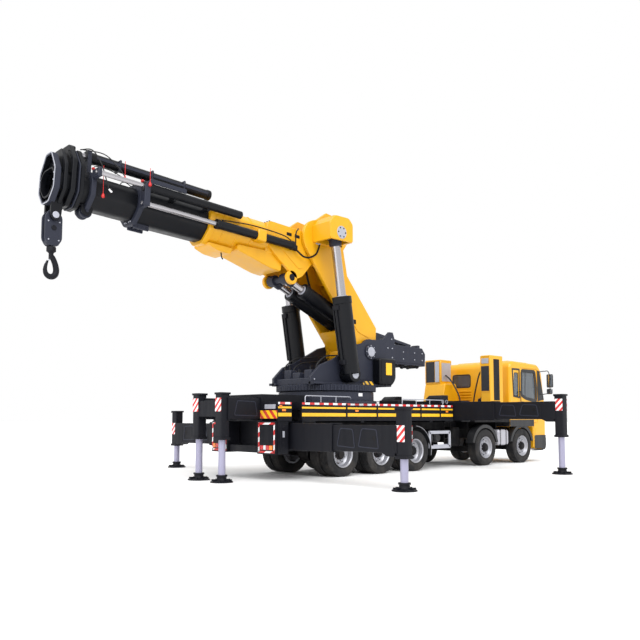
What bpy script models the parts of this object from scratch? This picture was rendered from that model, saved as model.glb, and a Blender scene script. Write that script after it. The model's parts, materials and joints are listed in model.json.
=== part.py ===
"""Five-axle truck with a knuckle-boom crane on its slewing ring, working over the rear.

Frame: +X forward, +Y left, +Z up, metres.  While it is modelled, x = 0 is the rearmost axle and
z = 0 the ground; stand_on_origin() then moves everything so that the origin is the middle of the
base of the whole crane's box.  Boom pieces are drawn along the boom, u towards the tip and
w square to it, upwards, from the knuckle pin.
"""

import math

import bmesh
import bpy
from mathutils import Matrix, Vector

# ---------------------------------------------------------------- driving sizes
GAP = 0.0003                # between faces that rest on each other
PLAY = 0.010                # between pieces that move past each other
ROUND = 16                  # sides of a round piece

TYRE_D = 1.076
TYRE_W = 0.31
RIM_R = 0.305
TWIN_PITCH = 0.34
ROAD_HALF = 1.25            # half the road width
AXLES_REAR = (0.0, 1.37, 2.74)
AXLE_FRONT_2, AXLE_FRONT_1 = 6.02, 8.05
KINGPIN_Y = 0.80

RAIL_Y = (0.38, 0.46)
RAIL_Z = (0.80, 1.10)
FRAME_FRONT_X = 8.70
SUBFRAME_TOP = 1.30

DECK_X = (-2.06, 4.38)
DECK_TOP, DECK_SKIRT = 1.78, 1.34
DECK_PLATE = 0.18
SKIRT_WALL = 0.05
LOCKER_Y = 0.58             # inner side of the rear corner lockers

# outriggers: two telescoping boxes lie side by side in each housing, one for each side
JACK_Y = 4.42               # jack centre, run out
JACK_Y_IN = 1.10            # jack centre, run in
STAGE_1_TRAVEL = 1.62
JACK_HALF = 0.14
LEG_R, PAD_R = 0.08, 0.25
BEAM_W = 0.32
BEAM_WALL = 0.02
HOUSING_WALL = 0.03
REAR_BEAM_Z = (0.69, 1.30)
FRONT_BEAM_Z = (1.35, 1.87)
REAR_BEAM_X = {"right": -1.51, "left": -1.13}
FRONT_BEAM_X = {"right": 4.63, "left": 5.01}
REAR_JACK_Z = (0.62, 1.62)
FRONT_JACK_Z = (0.93, 2.02)

STABILISER_Y = 0.45
STABILISER_JACK_X = -3.00
STABILISER_TRAVEL = 0.60
STABILISER_Z = (1.38, 1.87)
STABILISER_JACK_Z = (0.93, 1.98)

CAB_X = (7.35, 9.50)
CAB_FLOOR, CAB_ROOF = 1.15, 3.20
CAB_WALL = 0.06
DOOR_X = (7.98, 9.00)
DOOR_GAP = 0.008
PLATFORM_X = (5.45, 7.28)
PLATFORM_Z = (1.29, 1.38)

SLEW_X = 0.60
SLEW_R = 1.30
SLEW_FIXED_TOP = 2.08
RING_TOP = 2.24
BOOM_FOOT = (1.50, 3.15)
LUFF_FOOT = (0.53, 2.50)
LUFF_HEAD = (-0.05, 5.98)
LUFF_Y = 0.98
LUFF_BARREL = (0.23, 1.95)  # radius, length from the foot pin
LUFF_ROD_R = 0.115
CHEEK_Y = (0.66, 0.74)      # turntable side plates
BOOM_SIDE_Y = (0.50, 0.60)  # inner boom side plates

KNUCKLE = (-0.25, 5.90)
BOOM_RISE = math.radians(3.0)
ARTIC_FOOT = (1.10, 3.95)
ARTIC_EYE = (-1.00, 4.84)
ARTIC_Y = 0.24
ARTIC_BARREL = (0.185, 1.68)
ARTIC_ROD_R = 0.095

# boom tubes: half width, top and bottom of the housing, then each nested inside the last
HOUSING_BOX = (0.47, 0.14, -0.72)
HOUSING_WALL_T, SECTION_WALL, SECTION_GAP = 0.030, 0.025, 0.020
HOUSING_TIP = 3.15
HEAD_TIP = 6.60
HEAD_BOTTOM = -0.70
SECTION_U = {"1": (2.40, 4.87), "2": (3.25, 5.90), "3": (3.45, HEAD_TIP)}
SIDE_CYL_Y, SIDE_CYL_W, SIDE_CYL_R = 0.58, -0.35, 0.10
UPPER_CYL_Y, UPPER_CYL_W, UPPER_CYL_R = 0.60, 0.00, 0.09
TOP_CYL_W, TOP_CYL_R = 0.47, 0.11
HOOK_PIN = (HEAD_TIP - 0.14, -0.92)    # in boom coordinates

PAINTS = {
    "yellow": ((0.89, 0.53, 0.02), 0.35, 0.0),
    "dark": ((0.045, 0.052, 0.065), 0.45, 0.0),
    "black": ((0.015, 0.018, 0.022), 0.5, 0.0),
    "steel": ((0.55, 0.55, 0.62), 0.3, 0.9),
    "rubber": ((0.02, 0.02, 0.02), 0.85, 0.0),
    "seat": ((0.08, 0.08, 0.09), 0.8, 0.0),
}


# ---------------------------------------------------------------- shapes
def mesh_of(points, faces):
    """A closed mesh from corner points and faces, with its faces turned outwards."""
    shape = bmesh.new()
    corners = [shape.verts.new(p) for p in points]
    for face in faces:
        shape.faces.new([corners[i] for i in face])
    bmesh.ops.recalc_face_normals(shape, faces=shape.faces)
    mesh = bpy.data.meshes.new("shape")
    shape.to_mesh(mesh)
    shape.free()
    return mesh


def box(x, y, z):
    """A block between the low and high value of each axis, given in either order."""
    (x0, x1), (y0, y1), (z0, z1) = sorted(x), sorted(y), sorted(z)
    points = [(a, b, c) for a in (x0, x1) for b in (y0, y1) for c in (z0, z1)]
    return mesh_of(points, [(0, 1, 3, 2), (4, 6, 7, 5), (0, 4, 5, 1), (2, 3, 7, 6),
                            (0, 2, 6, 4), (1, 5, 7, 3)])


def loft(first, last):
    """A closed solid between two outlines with as many points."""
    count = len(first)
    sides = [(i, (i + 1) % count, (i + 1) % count + count, i + count) for i in range(count)]
    caps = [tuple(range(count)), tuple(range(2 * count - 1, count - 1, -1))]
    return mesh_of(list(first) + list(last), sides + caps)


def plate(outline, y0, y1):
    """A side-view outline of (x, z) points, as thick as from y0 to y1."""
    return loft([(x, y0, z) for x, z in outline], [(x, y1, z) for x, z in outline])


def slab(outline, z0, z1):
    """A plan-view outline of (x, y) points between two heights."""
    return loft([(x, y, z0) for x, y in outline], [(x, y, z1) for x, y in outline])


def rod(start, end, radius, end_radius=None, sides=ROUND):
    """A round bar, or a cone, between two points."""
    start, end = Vector(start), Vector(end)
    across = (end - start).normalized().orthogonal().normalized()
    turn = Matrix.Rotation
    way = end - start
    rings = []
    for point, r in ((start, radius), (end, end_radius or radius)):
        rings.append([point + turn(2 * math.pi * i / sides, 3, way) @ across * r
                      for i in range(sides)])
    return loft(rings[0], rings[1])


def disc_y(x, z, radius, y0, y1, sides=ROUND):
    """A round piece whose axis is along Y."""
    return rod((x, y0, z), (x, y1, z), radius, sides=sides)


def turned_y(profile, x, y, z, sides):
    """A half section of (radius, offset along Y) points, from axis to axis, turned about Y."""
    shape = bmesh.new()
    corners = [shape.verts.new((0, along, r)) for r, along in profile]
    edges = [shape.edges.new(pair) for pair in zip(corners, corners[1:])]
    bmesh.ops.spin(shape, geom=corners + edges, cent=(0, 0, 0), axis=(0, 1, 0),
                   angle=2 * math.pi, steps=sides, use_merge=True, use_duplicate=False)
    bmesh.ops.remove_doubles(shape, verts=shape.verts, dist=1e-5)
    bmesh.ops.dissolve_degenerate(shape, dist=1e-6, edges=shape.edges)
    bmesh.ops.recalc_face_normals(shape, faces=shape.faces)
    bmesh.ops.translate(shape, verts=shape.verts, vec=(x, y, z))
    mesh = bpy.data.meshes.new("turned")
    shape.to_mesh(mesh)
    shape.free()
    return mesh


def arc(centre, radius, start_deg, end_deg, steps=8):
    """Points (x, z) along an arc, angles from +X towards +Z."""
    angles = [math.radians(start_deg + (end_deg - start_deg) * i / steps)
              for i in range(steps + 1)]
    return [(centre[0] + radius * math.cos(a), centre[1] + radius * math.sin(a))
            for a in angles]


# ---------------------------------------------------------------- pieces
def paint(name):
    """The material of that name, made once."""
    if name in bpy.data.materials:
        return bpy.data.materials[name]
    colour, rough, metal = PAINTS[name]
    material = bpy.data.materials.new(name)
    material.use_nodes = True
    shader = material.node_tree.nodes["Principled BSDF"]
    shader.inputs["Base Color"].default_value = (*colour, 1.0)
    shader.inputs["Roughness"].default_value = rough
    shader.inputs["Metallic"].default_value = metal
    return material


def piece(name, finish, adds, cuts=(), pivot=(0.0, 0.0, 0.0)):
    """One closed body: the first shape, joined with the others, less the cuts, turning at pivot."""
    scene = bpy.context.scene.collection
    body = bpy.data.objects.new(name, adds[0])
    scene.objects.link(body)
    helpers = []
    for shapes, operation in ((adds[1:], "UNION"), (cuts, "DIFFERENCE")):
        for shape in shapes:
            helper = bpy.data.objects.new(name + "_tool", shape)
            scene.objects.link(helper)
            step = body.modifiers.new(operation, "BOOLEAN")
            step.operation, step.solver, step.object = operation, "EXACT", helper
            helpers.append(helper)
    if helpers:
        graph = bpy.context.evaluated_depsgraph_get()
        whole = bpy.data.meshes.new_from_object(body.evaluated_get(graph))
        body.modifiers.clear()
        body.data = whole
        for helper in helpers:
            bpy.data.objects.remove(helper)
    body.data.transform(Matrix.Translation(-Vector(pivot)))
    body.location = pivot
    body.data.materials.clear()
    body.data.materials.append(paint(finish))
    body.data.shade_smooth()
    body.data.set_sharp_from_angle(angle=math.radians(35))
    return body


def both(make):
    """The shapes that make(side) gives for the right side (-1) and the left side (+1)."""
    return make(-1) + make(1)


# ---------------------------------------------------------------- truck
def chassis_frame():
    rear_x = REAR_BEAM_X["left"] + BEAM_W / 2 + PLAY + HOUSING_WALL + GAP
    rails = both(lambda s: [box((rear_x, FRAME_FRONT_X), (s * RAIL_Y[0], s * RAIL_Y[1]), RAIL_Z)])
    members = [box((x - 0.05, x + 0.05), (-RAIL_Y[0] - 0.02, RAIL_Y[0] + 0.02),
                   (RAIL_Z[0] + 0.03, RAIL_Z[1] + 0.05))
               for x in (-0.60, 0.68, 2.05, 3.45, 4.60, 5.30, 6.80, 7.35)]
    subframe = box((rear_x, PLATFORM_X[0] + 0.10), (-RAIL_Y[1] - 0.06, RAIL_Y[1] + 0.06),
                   (RAIL_Z[1] - 0.01, SUBFRAME_TOP))
    bearers = [box((x - 0.04, x + 0.04), (-0.9, 0.9), (RAIL_Z[1] - 0.01, PLATFORM_Z[0] + 0.01))
               for x in (5.60, 7.10)]
    platform = box(PLATFORM_X, (-ROAD_HALF, ROAD_HALF), PLATFORM_Z)
    piece("chassis_frame", "black", [subframe] + rails + members + bearers + [platform])


def deck():
    """Deck with side skirts, the stabiliser's tunnels and a bay over each rear jack run in."""
    top = box(DECK_X, (-ROAD_HALF, ROAD_HALF), (DECK_TOP - DECK_PLATE, DECK_TOP))
    skirts = both(lambda s: [box(DECK_X, (s * ROAD_HALF, s * (ROAD_HALF - SKIRT_WALL)),
                                 (DECK_SKIRT, DECK_TOP - 0.01))])
    front = box((DECK_X[1] - SKIRT_WALL, DECK_X[1]), (-ROAD_HALF, ROAD_HALF),
                (DECK_SKIRT, DECK_TOP - 0.01))
    bearers = [box((x - 0.06, x + 0.06), (-ROAD_HALF + 0.02, ROAD_HALF - 0.02),
                   (SUBFRAME_TOP + GAP, DECK_TOP - 0.02)) for x in (0.68, 2.05, 3.42)]
    half = STABILISER_Y + BEAM_W / 2 + 0.06
    x_end = SLEW_X - SLEW_R - 0.02
    rear_box_top = REAR_BEAM_Z[1] + PLAY + HOUSING_WALL
    housing = box((DECK_X[0], x_end), (-half, half),
                  (rear_box_top + GAP, STABILISER_Z[1] + PLAY + 0.08))
    tunnels = both(lambda s: [box((DECK_X[0] - 0.1, x_end + 0.1),
                                  (s * (STABILISER_Y - BEAM_W / 2 - PLAY),
                                   s * (STABILISER_Y + BEAM_W / 2 + PLAY)),
                                  (STABILISER_Z[0] - PLAY, STABILISER_Z[1] + PLAY))])
    reach = JACK_HALF + PLAY
    bays = [box((x - reach, x + reach), (s * (JACK_Y_IN - reach), s * (ROAD_HALF + 0.1)),
                (DECK_SKIRT - 0.1, DECK_TOP + 0.1))
            for x, s in ((REAR_BEAM_X["right"], -1), (REAR_BEAM_X["left"], 1))]
    piece("deck", "dark", [top] + skirts + [front] + bearers + [housing], tunnels + bays)


def rear_bumper():
    """Corner lockers with the lamp frames, joined by a bar below the stabiliser."""
    x_rear = DECK_X[0]
    lockers = both(lambda s: [
        box((x_rear, -1.76), (s * LOCKER_Y, s * ROAD_HALF), (0.60, DECK_SKIRT - GAP)),
        box((x_rear - 0.06, x_rear + 0.02), (s * LOCKER_Y, s * (ROAD_HALF - 0.03)),
            (0.60, DECK_SKIRT - GAP))])
    bar = box((x_rear, x_rear + 0.10), (-0.9, 0.9), (0.62, 0.78))
    piece("rear_bumper", "dark", [bar] + lockers)


def wheel_profile(twin):
    """Half section of a wheel, with its tyre or pair of tyres, as (radius, offset) points."""
    r, rim, half = TYRE_D / 2, RIM_R, TYRE_W / 2
    if not twin:
        return [(0.0, -0.07), (0.25, -0.07), (rim, -half), (r - 0.08, -half), (r, -half + 0.06),
                (r, half - 0.06), (r - 0.08, half), (rim, half), (rim - 0.04, half - 0.04),
                (0.20, 0.06), (0.12, 0.14), (0.0, 0.14)]
    o, i = TWIN_PITCH / 2, -TWIN_PITCH / 2
    half = TYRE_W / 2 - 0.005
    return [(0.0, -0.20), (0.15, -0.20), (0.17, -0.06), (rim - 0.03, -0.06), (rim, i - half),
            (r - 0.08, i - half), (r, i - half + 0.06), (r, i + half - 0.04), (rim + 0.08, i + half),
            (rim + 0.08, o - half), (r, o - half + 0.04), (r, o + half - 0.06), (r - 0.08, o + half),
            (rim, o + half), (0.24, 0.02), (0.12, 0.06), (0.12, 0.24), (0.0, 0.24)]


def wheel(name, x, side, twin):
    centre = ROAD_HALF - TYRE_W / 2 - (TWIN_PITCH / 2 if twin else 0)
    profile = [(r, side * along) for r, along in wheel_profile(twin)]
    piece(name, "rubber", [turned_y(profile, x, side * centre, TYRE_D / 2, 16 if twin else 20)],
          pivot=(x, side * centre, TYRE_D / 2))


HUB_FACE_TWIN = ROAD_HALF - TYRE_W / 2 - TWIN_PITCH / 2 - 0.20
HUB_FACE_SINGLE = ROAD_HALF - TYRE_W / 2 - 0.07


def rear_bogie():
    """The three driven axles with their springs, joined by the equalising beams."""
    z = TYRE_D / 2
    reach = HUB_FACE_TWIN - GAP
    shapes = []
    for x in AXLES_REAR:
        shapes.append(rod((x, -reach, z), (x, reach, z), 0.09, sides=16))
        shapes.append(disc_y(x, z, 0.22, -0.18, 0.18, 16))
    x0, x1 = AXLES_REAR[0] - 0.45, AXLES_REAR[-1] + 0.45
    shapes += both(lambda s: [box((x0, x1), (s * 0.385, s * 0.455), (z - 0.05, z + 0.12))])
    for x in (x0 + 0.06, AXLES_REAR[0] + 0.68, AXLES_REAR[1] + 0.68, x1 - 0.06):
        shapes += both(lambda s: [box((x - 0.06, x + 0.06), (s * 0.385, s * 0.455),
                                      (z, RAIL_Z[0] - GAP))])
    piece("rear_bogie", "black", shapes)


def front_axle(name, x):
    z = TYRE_D / 2
    beam = box((x - 0.06, x + 0.06), (-0.70, 0.70), (z - 0.14, z - 0.03))
    shapes = [beam]
    shapes += both(lambda s: [
        beam_end(s, 0.62, 0.78, x, z),
        rod((x, s * KINGPIN_Y, z - 0.10), (x, s * KINGPIN_Y, z + 0.10), 0.06, sides=16),
        box((x - 0.58, x + 0.58), (s * 0.385, s * 0.455), (z - 0.04, z + 0.03))])
    for end in (-0.54, 0.54):
        shapes += both(lambda s: [box((x + end - 0.04, x + end + 0.04), (s * 0.385, s * 0.455),
                                      (z, RAIL_Z[0] - GAP))])
    piece(name, "black", shapes)


def beam_end(side, y0, y1, x, z):
    """The upswept end of a front axle beam."""
    return box((x - 0.05, x + 0.05), (side * y0, side * y1), (z - 0.09, z + 0.09))


def steering_knuckle(name, x, side):
    z = TYRE_D / 2
    arms = [box((x - 0.06, x + 0.06), (side * 0.75, side * 0.94), (z + 0.10 + GAP, z + 0.15)),
            box((x - 0.06, x + 0.06), (side * 0.75, side * 0.94), (z - 0.15, z - 0.10 - GAP)),
            rod((x, side * 0.93, z), (x, side * (HUB_FACE_SINGLE - GAP), z), 0.07, sides=16)]
    web = box((x - 0.06, x + 0.06), (side * 0.875, side * 0.94), (z - 0.15, z + 0.15))
    piece(name, "black", [web] + arms, pivot=(x, side * KINGPIN_Y, z))


def fuel_tank():
    """Tank between the front axles on the right, hung from the frame rail."""
    tank = box((6.74, 7.33), (-1.20, -0.62), (0.56, RAIL_Z[1] - 0.03))
    arm = box((6.98, 7.08), (-0.64, -RAIL_Y[1] - GAP), (0.86, 1.02))
    piece("fuel_tank", "steel", [tank, arm])


def engine_block():
    shapes = [box((7.55, 8.60), (-0.30, 0.30), (0.66, 1.12)),
              box((7.80, 8.00), (-RAIL_Y[0] + GAP, RAIL_Y[0] - GAP), (0.84, 0.98))]
    piece("engine_block", "black", shapes)


def cooling_units():
    """Oil coolers on their pedestals, behind the cab, tied by a beam."""
    base = PLATFORM_Z[1] + GAP
    right = [box((6.30, 7.00), (-1.25, -0.90), (1.78, 3.33)),
             box((6.36, 6.94), (-1.22, -0.60), (base, 1.80))]
    left = [box((6.30, 6.90), (0.30, 1.25), (2.50, 3.30)),
            plate([(6.26, base), (7.05, base), (7.05, 1.9), (6.90, 2.52), (6.30, 2.52), (6.16, 1.9)],
                  0.22, 1.25)]
    tie = box((6.45, 6.85), (-0.95, 0.30), (base, 1.62))
    piece("cooling_units", "yellow", [tie] + right + left)


CAB_OUTLINE = [(CAB_X[0], CAB_FLOOR), (8.74, CAB_FLOOR), (8.78, 0.42), (9.42, 0.40), (CAB_X[1], 0.95),
               (CAB_X[1], 1.75), (9.30, 2.95), (9.08, CAB_ROOF - 0.03), (7.55, CAB_ROOF + 0.02),
               (7.38, CAB_ROOF - 0.12)]


def cab_shell():
    inner = [(7.41, 1.21), (9.42, 1.21), (9.44, 1.75), (9.245, 2.93), (9.04, 3.11), (7.57, 3.16),
             (7.44, 3.05)]
    shell = plate(CAB_OUTLINE, -ROAD_HALF, ROAD_HALF)
    bearers = [box((x - 0.08, x + 0.08), (s * RAIL_Y[0], s * RAIL_Y[1]),
                   (RAIL_Z[1] + GAP, CAB_FLOOR + 0.02)) for x in (7.55, 8.55) for s in (-1, 1)]
    hollow = plate(inner, -ROAD_HALF + CAB_WALL, ROAD_HALF - CAB_WALL)
    x0, x1 = DOOR_X[0] - DOOR_GAP, DOOR_X[1] + DOOR_GAP
    door_holes = both(lambda s: [box((x0, x1), (s * (ROAD_HALF - 0.15), s * (ROAD_HALF + 0.15)),
                                 (1.25, 3.02))])
    windscreen = loft([(9.0, -1.12, 2.02), (9.0, 1.12, 2.02), (9.0, 1.05, 2.86), (9.0, -1.05, 2.86)],
                      [(9.8, -1.12, 2.02), (9.8, 1.12, 2.02), (9.8, 1.05, 2.86), (9.8, -1.05, 2.86)])
    rear_panes = both(lambda s: [box((7.2, 7.6), (s * 0.22, s * 0.92), (2.42, 2.85))])
    side_panes = both(lambda s: [box((7.55, 7.88), (s * 1.10, s * 1.40), (2.10, 2.85))])
    piece("cab_shell", "yellow", [shell] + bearers,
          [hollow, windscreen] + door_holes + rear_panes + side_panes)


def cab_door(name, side):
    y0, y1 = side * (ROAD_HALF - CAB_WALL + 0.01), side * ROAD_HALF
    x0, x1 = DOOR_X
    panel = box(DOOR_X, (y0, y1), (1.258, 3.012))
    latch = box((x0 - DOOR_GAP + GAP, x0 + 0.02), (side * (ROAD_HALF - 0.045), side * (ROAD_HALF - 0.005)),
                (1.9, 2.0))
    window = plate([(x0 + 0.10, 2.10), (x1 - 0.14, 2.10), (x1 - 0.20, 2.90), (x0 + 0.10, 2.90)],
                   side * (ROAD_HALF - 0.25), side * (ROAD_HALF + 0.25))
    piece(name, "yellow", [panel, latch], [window], pivot=(x1, side * ROAD_HALF, 2.1))


def cab_interior():
    """Seats, dashboard and steering wheel, on the cab's floor."""
    floor = 1.21 + GAP
    shapes = [box((7.50, 9.36), (-1.10, 1.10), (floor, 1.27)),
              box((9.00, 9.38), (-1.12, 1.12), (1.26, 2.0))]
    shapes += both(lambda s: [box((7.95, 8.45), (s * 0.30, s * 0.85), (1.26, 1.72)),
                              box((7.84, 8.0), (s * 0.32, s * 0.83), (1.5, 2.48))])
    shapes += [rod((9.1, 0.55, 1.75), (8.78, 0.55, 2.02), 0.03, sides=10),
               rod((8.80, 0.55, 2.0), (8.775, 0.55, 2.03), 0.22, sides=16)]
    piece("cab_interior", "seat", shapes)


# ---------------------------------------------------------------- outriggers
def outrigger_housing(name, beam_x, beam_z, seat_z):
    """The box across the truck; each tunnel ends short on its own side to let the jack in."""
    reach = BEAM_W / 2 + PLAY
    x0 = min(beam_x.values()) - reach - HOUSING_WALL
    x1 = max(beam_x.values()) + reach + HOUSING_WALL
    z0, z1 = beam_z[0] - PLAY - HOUSING_WALL, beam_z[1] + PLAY + HOUSING_WALL
    shapes = [box((x0, x1), (-ROAD_HALF, ROAD_HALF), (z0, z1))]
    shapes += [box((x0 + 0.1, x1 - 0.1), (-RAIL_Y[1], RAIL_Y[1]), (seat_z, z0 + 0.01))] if seat_z else []
    cuts = []
    for side_name, x in beam_x.items():
        side = 1 if side_name == "left" else -1
        cuts.append(box((x - reach, x + reach), (-side * (ROAD_HALF + 0.1), side * (ROAD_HALF + 0.1)),
                        (beam_z[0] - PLAY, beam_z[1] + PLAY)))
        outer = x0 - 0.1 if side < 0 else x1 + 0.1
        inner = x + reach if side < 0 else x - reach
        cuts.append(box((outer, inner), (side * (JACK_Y_IN - JACK_HALF - PLAY), side * (ROAD_HALF + 0.1)),
                        (z0 - 0.1, z1 + 0.1)))
    piece(name, "dark", shapes, cuts)


def outrigger(place, side_name, x, beam_z, jack_z):
    """Two telescoping beams and the leg of one outrigger, run out."""
    side = 1 if side_name == "left" else -1
    end = f"{place}_{side_name}"
    housing_end = JACK_Y_IN - JACK_HALF - PLAY
    stage_2_travel = JACK_Y - JACK_Y_IN - STAGE_1_TRAVEL
    inner_1 = -ROAD_HALF + 0.02 + STAGE_1_TRAVEL
    outer_1 = housing_end - 0.01 + STAGE_1_TRAVEL
    half, z0, z1 = BEAM_W / 2, beam_z[0], beam_z[1]
    beam = box((x - half, x + half), (side * inner_1, side * outer_1), (z0, z1))
    runner = box((x - 0.06, x + 0.06), (side * inner_1, side * (inner_1 + 0.3)), (z0 - PLAY + GAP, z0 + 0.01))
    hollow = box((x - half + BEAM_WALL, x + half - BEAM_WALL), (side * (inner_1 - 0.1), side * (outer_1 + 0.1)),
                 (z0 + BEAM_WALL, z1 - BEAM_WALL))
    piece(f"outrigger_{end}_stage_1", "dark", [beam, runner], [hollow],
          pivot=(x, side * inner_1, (z0 + z1) / 2))

    shrink = BEAM_WALL + PLAY
    half -= shrink
    z0, z1 = z0 + shrink, z1 - shrink
    inner_2 = -ROAD_HALF + 0.04 + STAGE_1_TRAVEL + stage_2_travel
    beam = box((x - half, x + half), (side * inner_2, side * (JACK_Y - 0.05)), (z0, z1))
    runner = box((x - 0.06, x + 0.06), (side * inner_2, side * (inner_2 + 0.25)), (z0 - PLAY + GAP, z0 + 0.01))
    sleeve = box((x - JACK_HALF, x + JACK_HALF), (side * (JACK_Y - JACK_HALF), side * (JACK_Y + JACK_HALF)),
                 jack_z)
    hollow = box((x - half + BEAM_WALL, x + half - BEAM_WALL), (side * (inner_2 - 0.1), side * (JACK_Y - 0.3)),
                 (z0 + BEAM_WALL, z1 - BEAM_WALL))
    bore = rod((x, side * JACK_Y, jack_z[0] - 0.1), (x, side * JACK_Y, jack_z[1] - 0.08), LEG_R + GAP, sides=16)
    piece(f"outrigger_{end}_stage_2", "dark", [beam, runner, sleeve], [hollow, bore],
          pivot=(x, side * inner_2, (z0 + z1) / 2))
    leg(f"outrigger_{end}_leg", x, side * JACK_Y, jack_z)


def leg(name, x, y, jack_z):
    """A round leg on its foot; it rises by as much as the jack sleeve leaves free."""
    shapes = [rod((x, y, 0.05), (x, y, jack_z[1] - 0.72), LEG_R, sides=16),
              rod((x, y, 0.0), (x, y, 0.045), PAD_R), rod((x, y, 0.04), (x, y, 0.13), 0.17, 0.10, sides=16)]
    piece(name, "steel", shapes, pivot=(x, y, 0.0))


def rear_stabiliser():
    """The frame that runs out behind the deck, with its two jack sleeves and their legs."""
    x_in = DECK_X[0] + 0.56
    half, (z0, z1), jx = BEAM_W / 2, STABILISER_Z, STABILISER_JACK_X
    shapes = [box((jx - 0.10, jx + 0.12), (-STABILISER_Y, STABILISER_Y), (z0 + 0.06, z1 - 0.06))]
    shapes += both(lambda s: [
        box((jx + 0.05, x_in), (s * (STABILISER_Y - half), s * (STABILISER_Y + half)), (z0, z1)),
        box((x_in - 0.3, x_in), (s * (STABILISER_Y - 0.06), s * (STABILISER_Y + 0.06)),
            (z0 - PLAY + GAP, z0 + 0.01)),
        box((jx - JACK_HALF, jx + JACK_HALF), (s * (STABILISER_Y - JACK_HALF), s * (STABILISER_Y + JACK_HALF)),
            STABILISER_JACK_Z)])
    cuts = both(lambda s: [rod((jx, s * STABILISER_Y, STABILISER_JACK_Z[0] - 0.1),
                               (jx, s * STABILISER_Y, STABILISER_JACK_Z[1] - 0.08), LEG_R + GAP, sides=16)])
    piece("rear_stabiliser_frame", "dark", shapes, cuts, pivot=(x_in, 0, (z0 + z1) / 2))
    for side_name, side in (("right", -1), ("left", 1)):
        leg(f"rear_stabiliser_{side_name}_leg", jx, side * STABILISER_Y, STABILISER_JACK_Z)


# ---------------------------------------------------------------- crane
def slewing_base():
    low = rod((SLEW_X, 0, DECK_TOP + GAP), (SLEW_X, 0, SLEW_FIXED_TOP), SLEW_R - 0.06, sides=32)
    piece("slewing_base", "dark", [low])


def turntable():
    """Ring plate, side plates that carry the boom foot, the winch boxes and the jib bracket."""
    ring = rod((SLEW_X, 0, SLEW_FIXED_TOP + GAP), (SLEW_X, 0, RING_TOP), SLEW_R, sides=32)
    fx, fz = BOOM_FOOT
    cheek = [(-0.62, RING_TOP - 0.02), (-0.62, 2.42), (-0.30, 2.72), (0.10, 2.86), (0.95, 3.30)]
    cheek += arc(BOOM_FOOT, 0.34, 140, 75, 4)
    cheek += [(2.02, 3.52), (2.28, 3.74), (2.42, 3.74), (2.50, 3.55), (2.50, 2.90), (2.30, 2.50),
              (1.80, RING_TOP - 0.02)]
    cheeks = both(lambda s: [plate(cheek, s * CHEEK_Y[0], s * CHEEK_Y[1])])
    web = box((-0.55, 0.22), (-0.70, 0.70), (RING_TOP - 0.02, 2.40))
    cross = box((1.95, 2.45), (-0.70, 0.70), (RING_TOP + 0.02, 2.80))
    winches = both(lambda s: [box((1.58, 2.22), (s * 0.72, s * 1.02), (2.28, 2.98))])
    caps = both(lambda s: [disc_y(fx, fz, 0.16, s * 0.70, s * 0.80)])
    holes = both(lambda s: [disc_y(LUFF_FOOT[0], LUFF_FOOT[1], 0.135, s * 0.6, s * 0.8)])
    piece("turntable", "dark", [ring, web, cross] + cheeks + winches + caps, holes,
          pivot=(SLEW_X, 0, SLEW_FIXED_TOP))


def stowed_jib():
    """The folded jib arm behind the boom foot, held between the side plates."""
    root = box((2.06, 2.46), (-CHEEK_Y[0] + GAP, CHEEK_Y[0] - GAP), (2.92, 3.40))
    arm = plate([(2.30, 2.94), (4.40, 2.93), (4.42, 3.30), (4.28, 3.46), (2.90, 3.50), (2.30, 3.44)],
                -0.26, 0.26)
    strut = plate([(2.30, 3.40), (2.38, 3.78), (2.48, 3.80), (3.95, 3.56), (3.95, 3.40), (3.80, 3.44),
                   (3.70, 3.52), (2.62, 3.68), (2.62, 3.44)], -0.10, 0.10)
    rollers = [disc_y(x, 2.93, 0.07, -0.20, 0.20, 12) for x in (3.15, 3.45, 3.85, 4.12)]
    piece("stowed_jib", "dark", [arm, root, strut] + rollers)


def inner_boom():
    fx, fz = BOOM_FOOT
    kx, kz = KNUCKLE
    side = arc(BOOM_FOOT, 0.30, 225, 360, 6) + [(1.88, 3.42), (1.90, 3.82), (0.80, 5.10), (0.66, 5.75)]
    side += [(0.84, 6.00), (0.34, 6.58), (0.05, 6.62)]
    side += arc(KNUCKLE, 0.48, 95, 215, 8) + [(0.42, 4.26), (1.10, 3.42)]
    y0, y1 = BOOM_SIDE_Y
    sides = both(lambda s: [plate(side, s * y0, s * y1)])
    back = plate([(1.86, 3.40), (1.88, 3.80), (0.78, 5.08), (0.64, 5.75), (0.58, 5.73), (0.72, 5.05),
                  (1.80, 3.78), (1.78, 3.40)], -y0 - 0.02, y0 + 0.02)
    front = plate([(1.40, 3.00), (1.08, 3.42), (0.86, 3.70), (0.91, 3.73), (1.13, 3.47), (1.46, 3.05)],
                  -y0 - 0.02, y0 + 0.02)
    head = box((0.30, 0.62), (-y1, y1), (5.80, 6.40))
    foot = disc_y(fx, fz, 0.28, -CHEEK_Y[0] + GAP, CHEEK_Y[0] - GAP)
    hx, hz = LUFF_HEAD
    blocks = both(lambda s: [box((hx - 0.38, hx + 0.40), (s * (y0 + 0.02), s * 1.25), (hz - 0.24, hz + 0.40))])
    pockets = both(lambda s: [box((hx - 0.31, hx + 0.31), (s * (y1 + 0.05), s * 1.20), (hz - 0.4, hz + 0.32))])
    caps = both(lambda s: [disc_y(kx, kz, 0.15, s * (y0 + 0.02), s * (y1 + 0.03), 16)])
    shapes = [foot, back, front, head] + sides + blocks + caps
    piece("inner_boom", "yellow", shapes, pockets, pivot=(fx, 0, fz))


def along(foot, head, distance):
    """The (x, z) point at a distance from foot towards head."""
    way = Vector(head) - Vector(foot)
    return Vector(foot) + way.normalized() * distance


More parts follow.
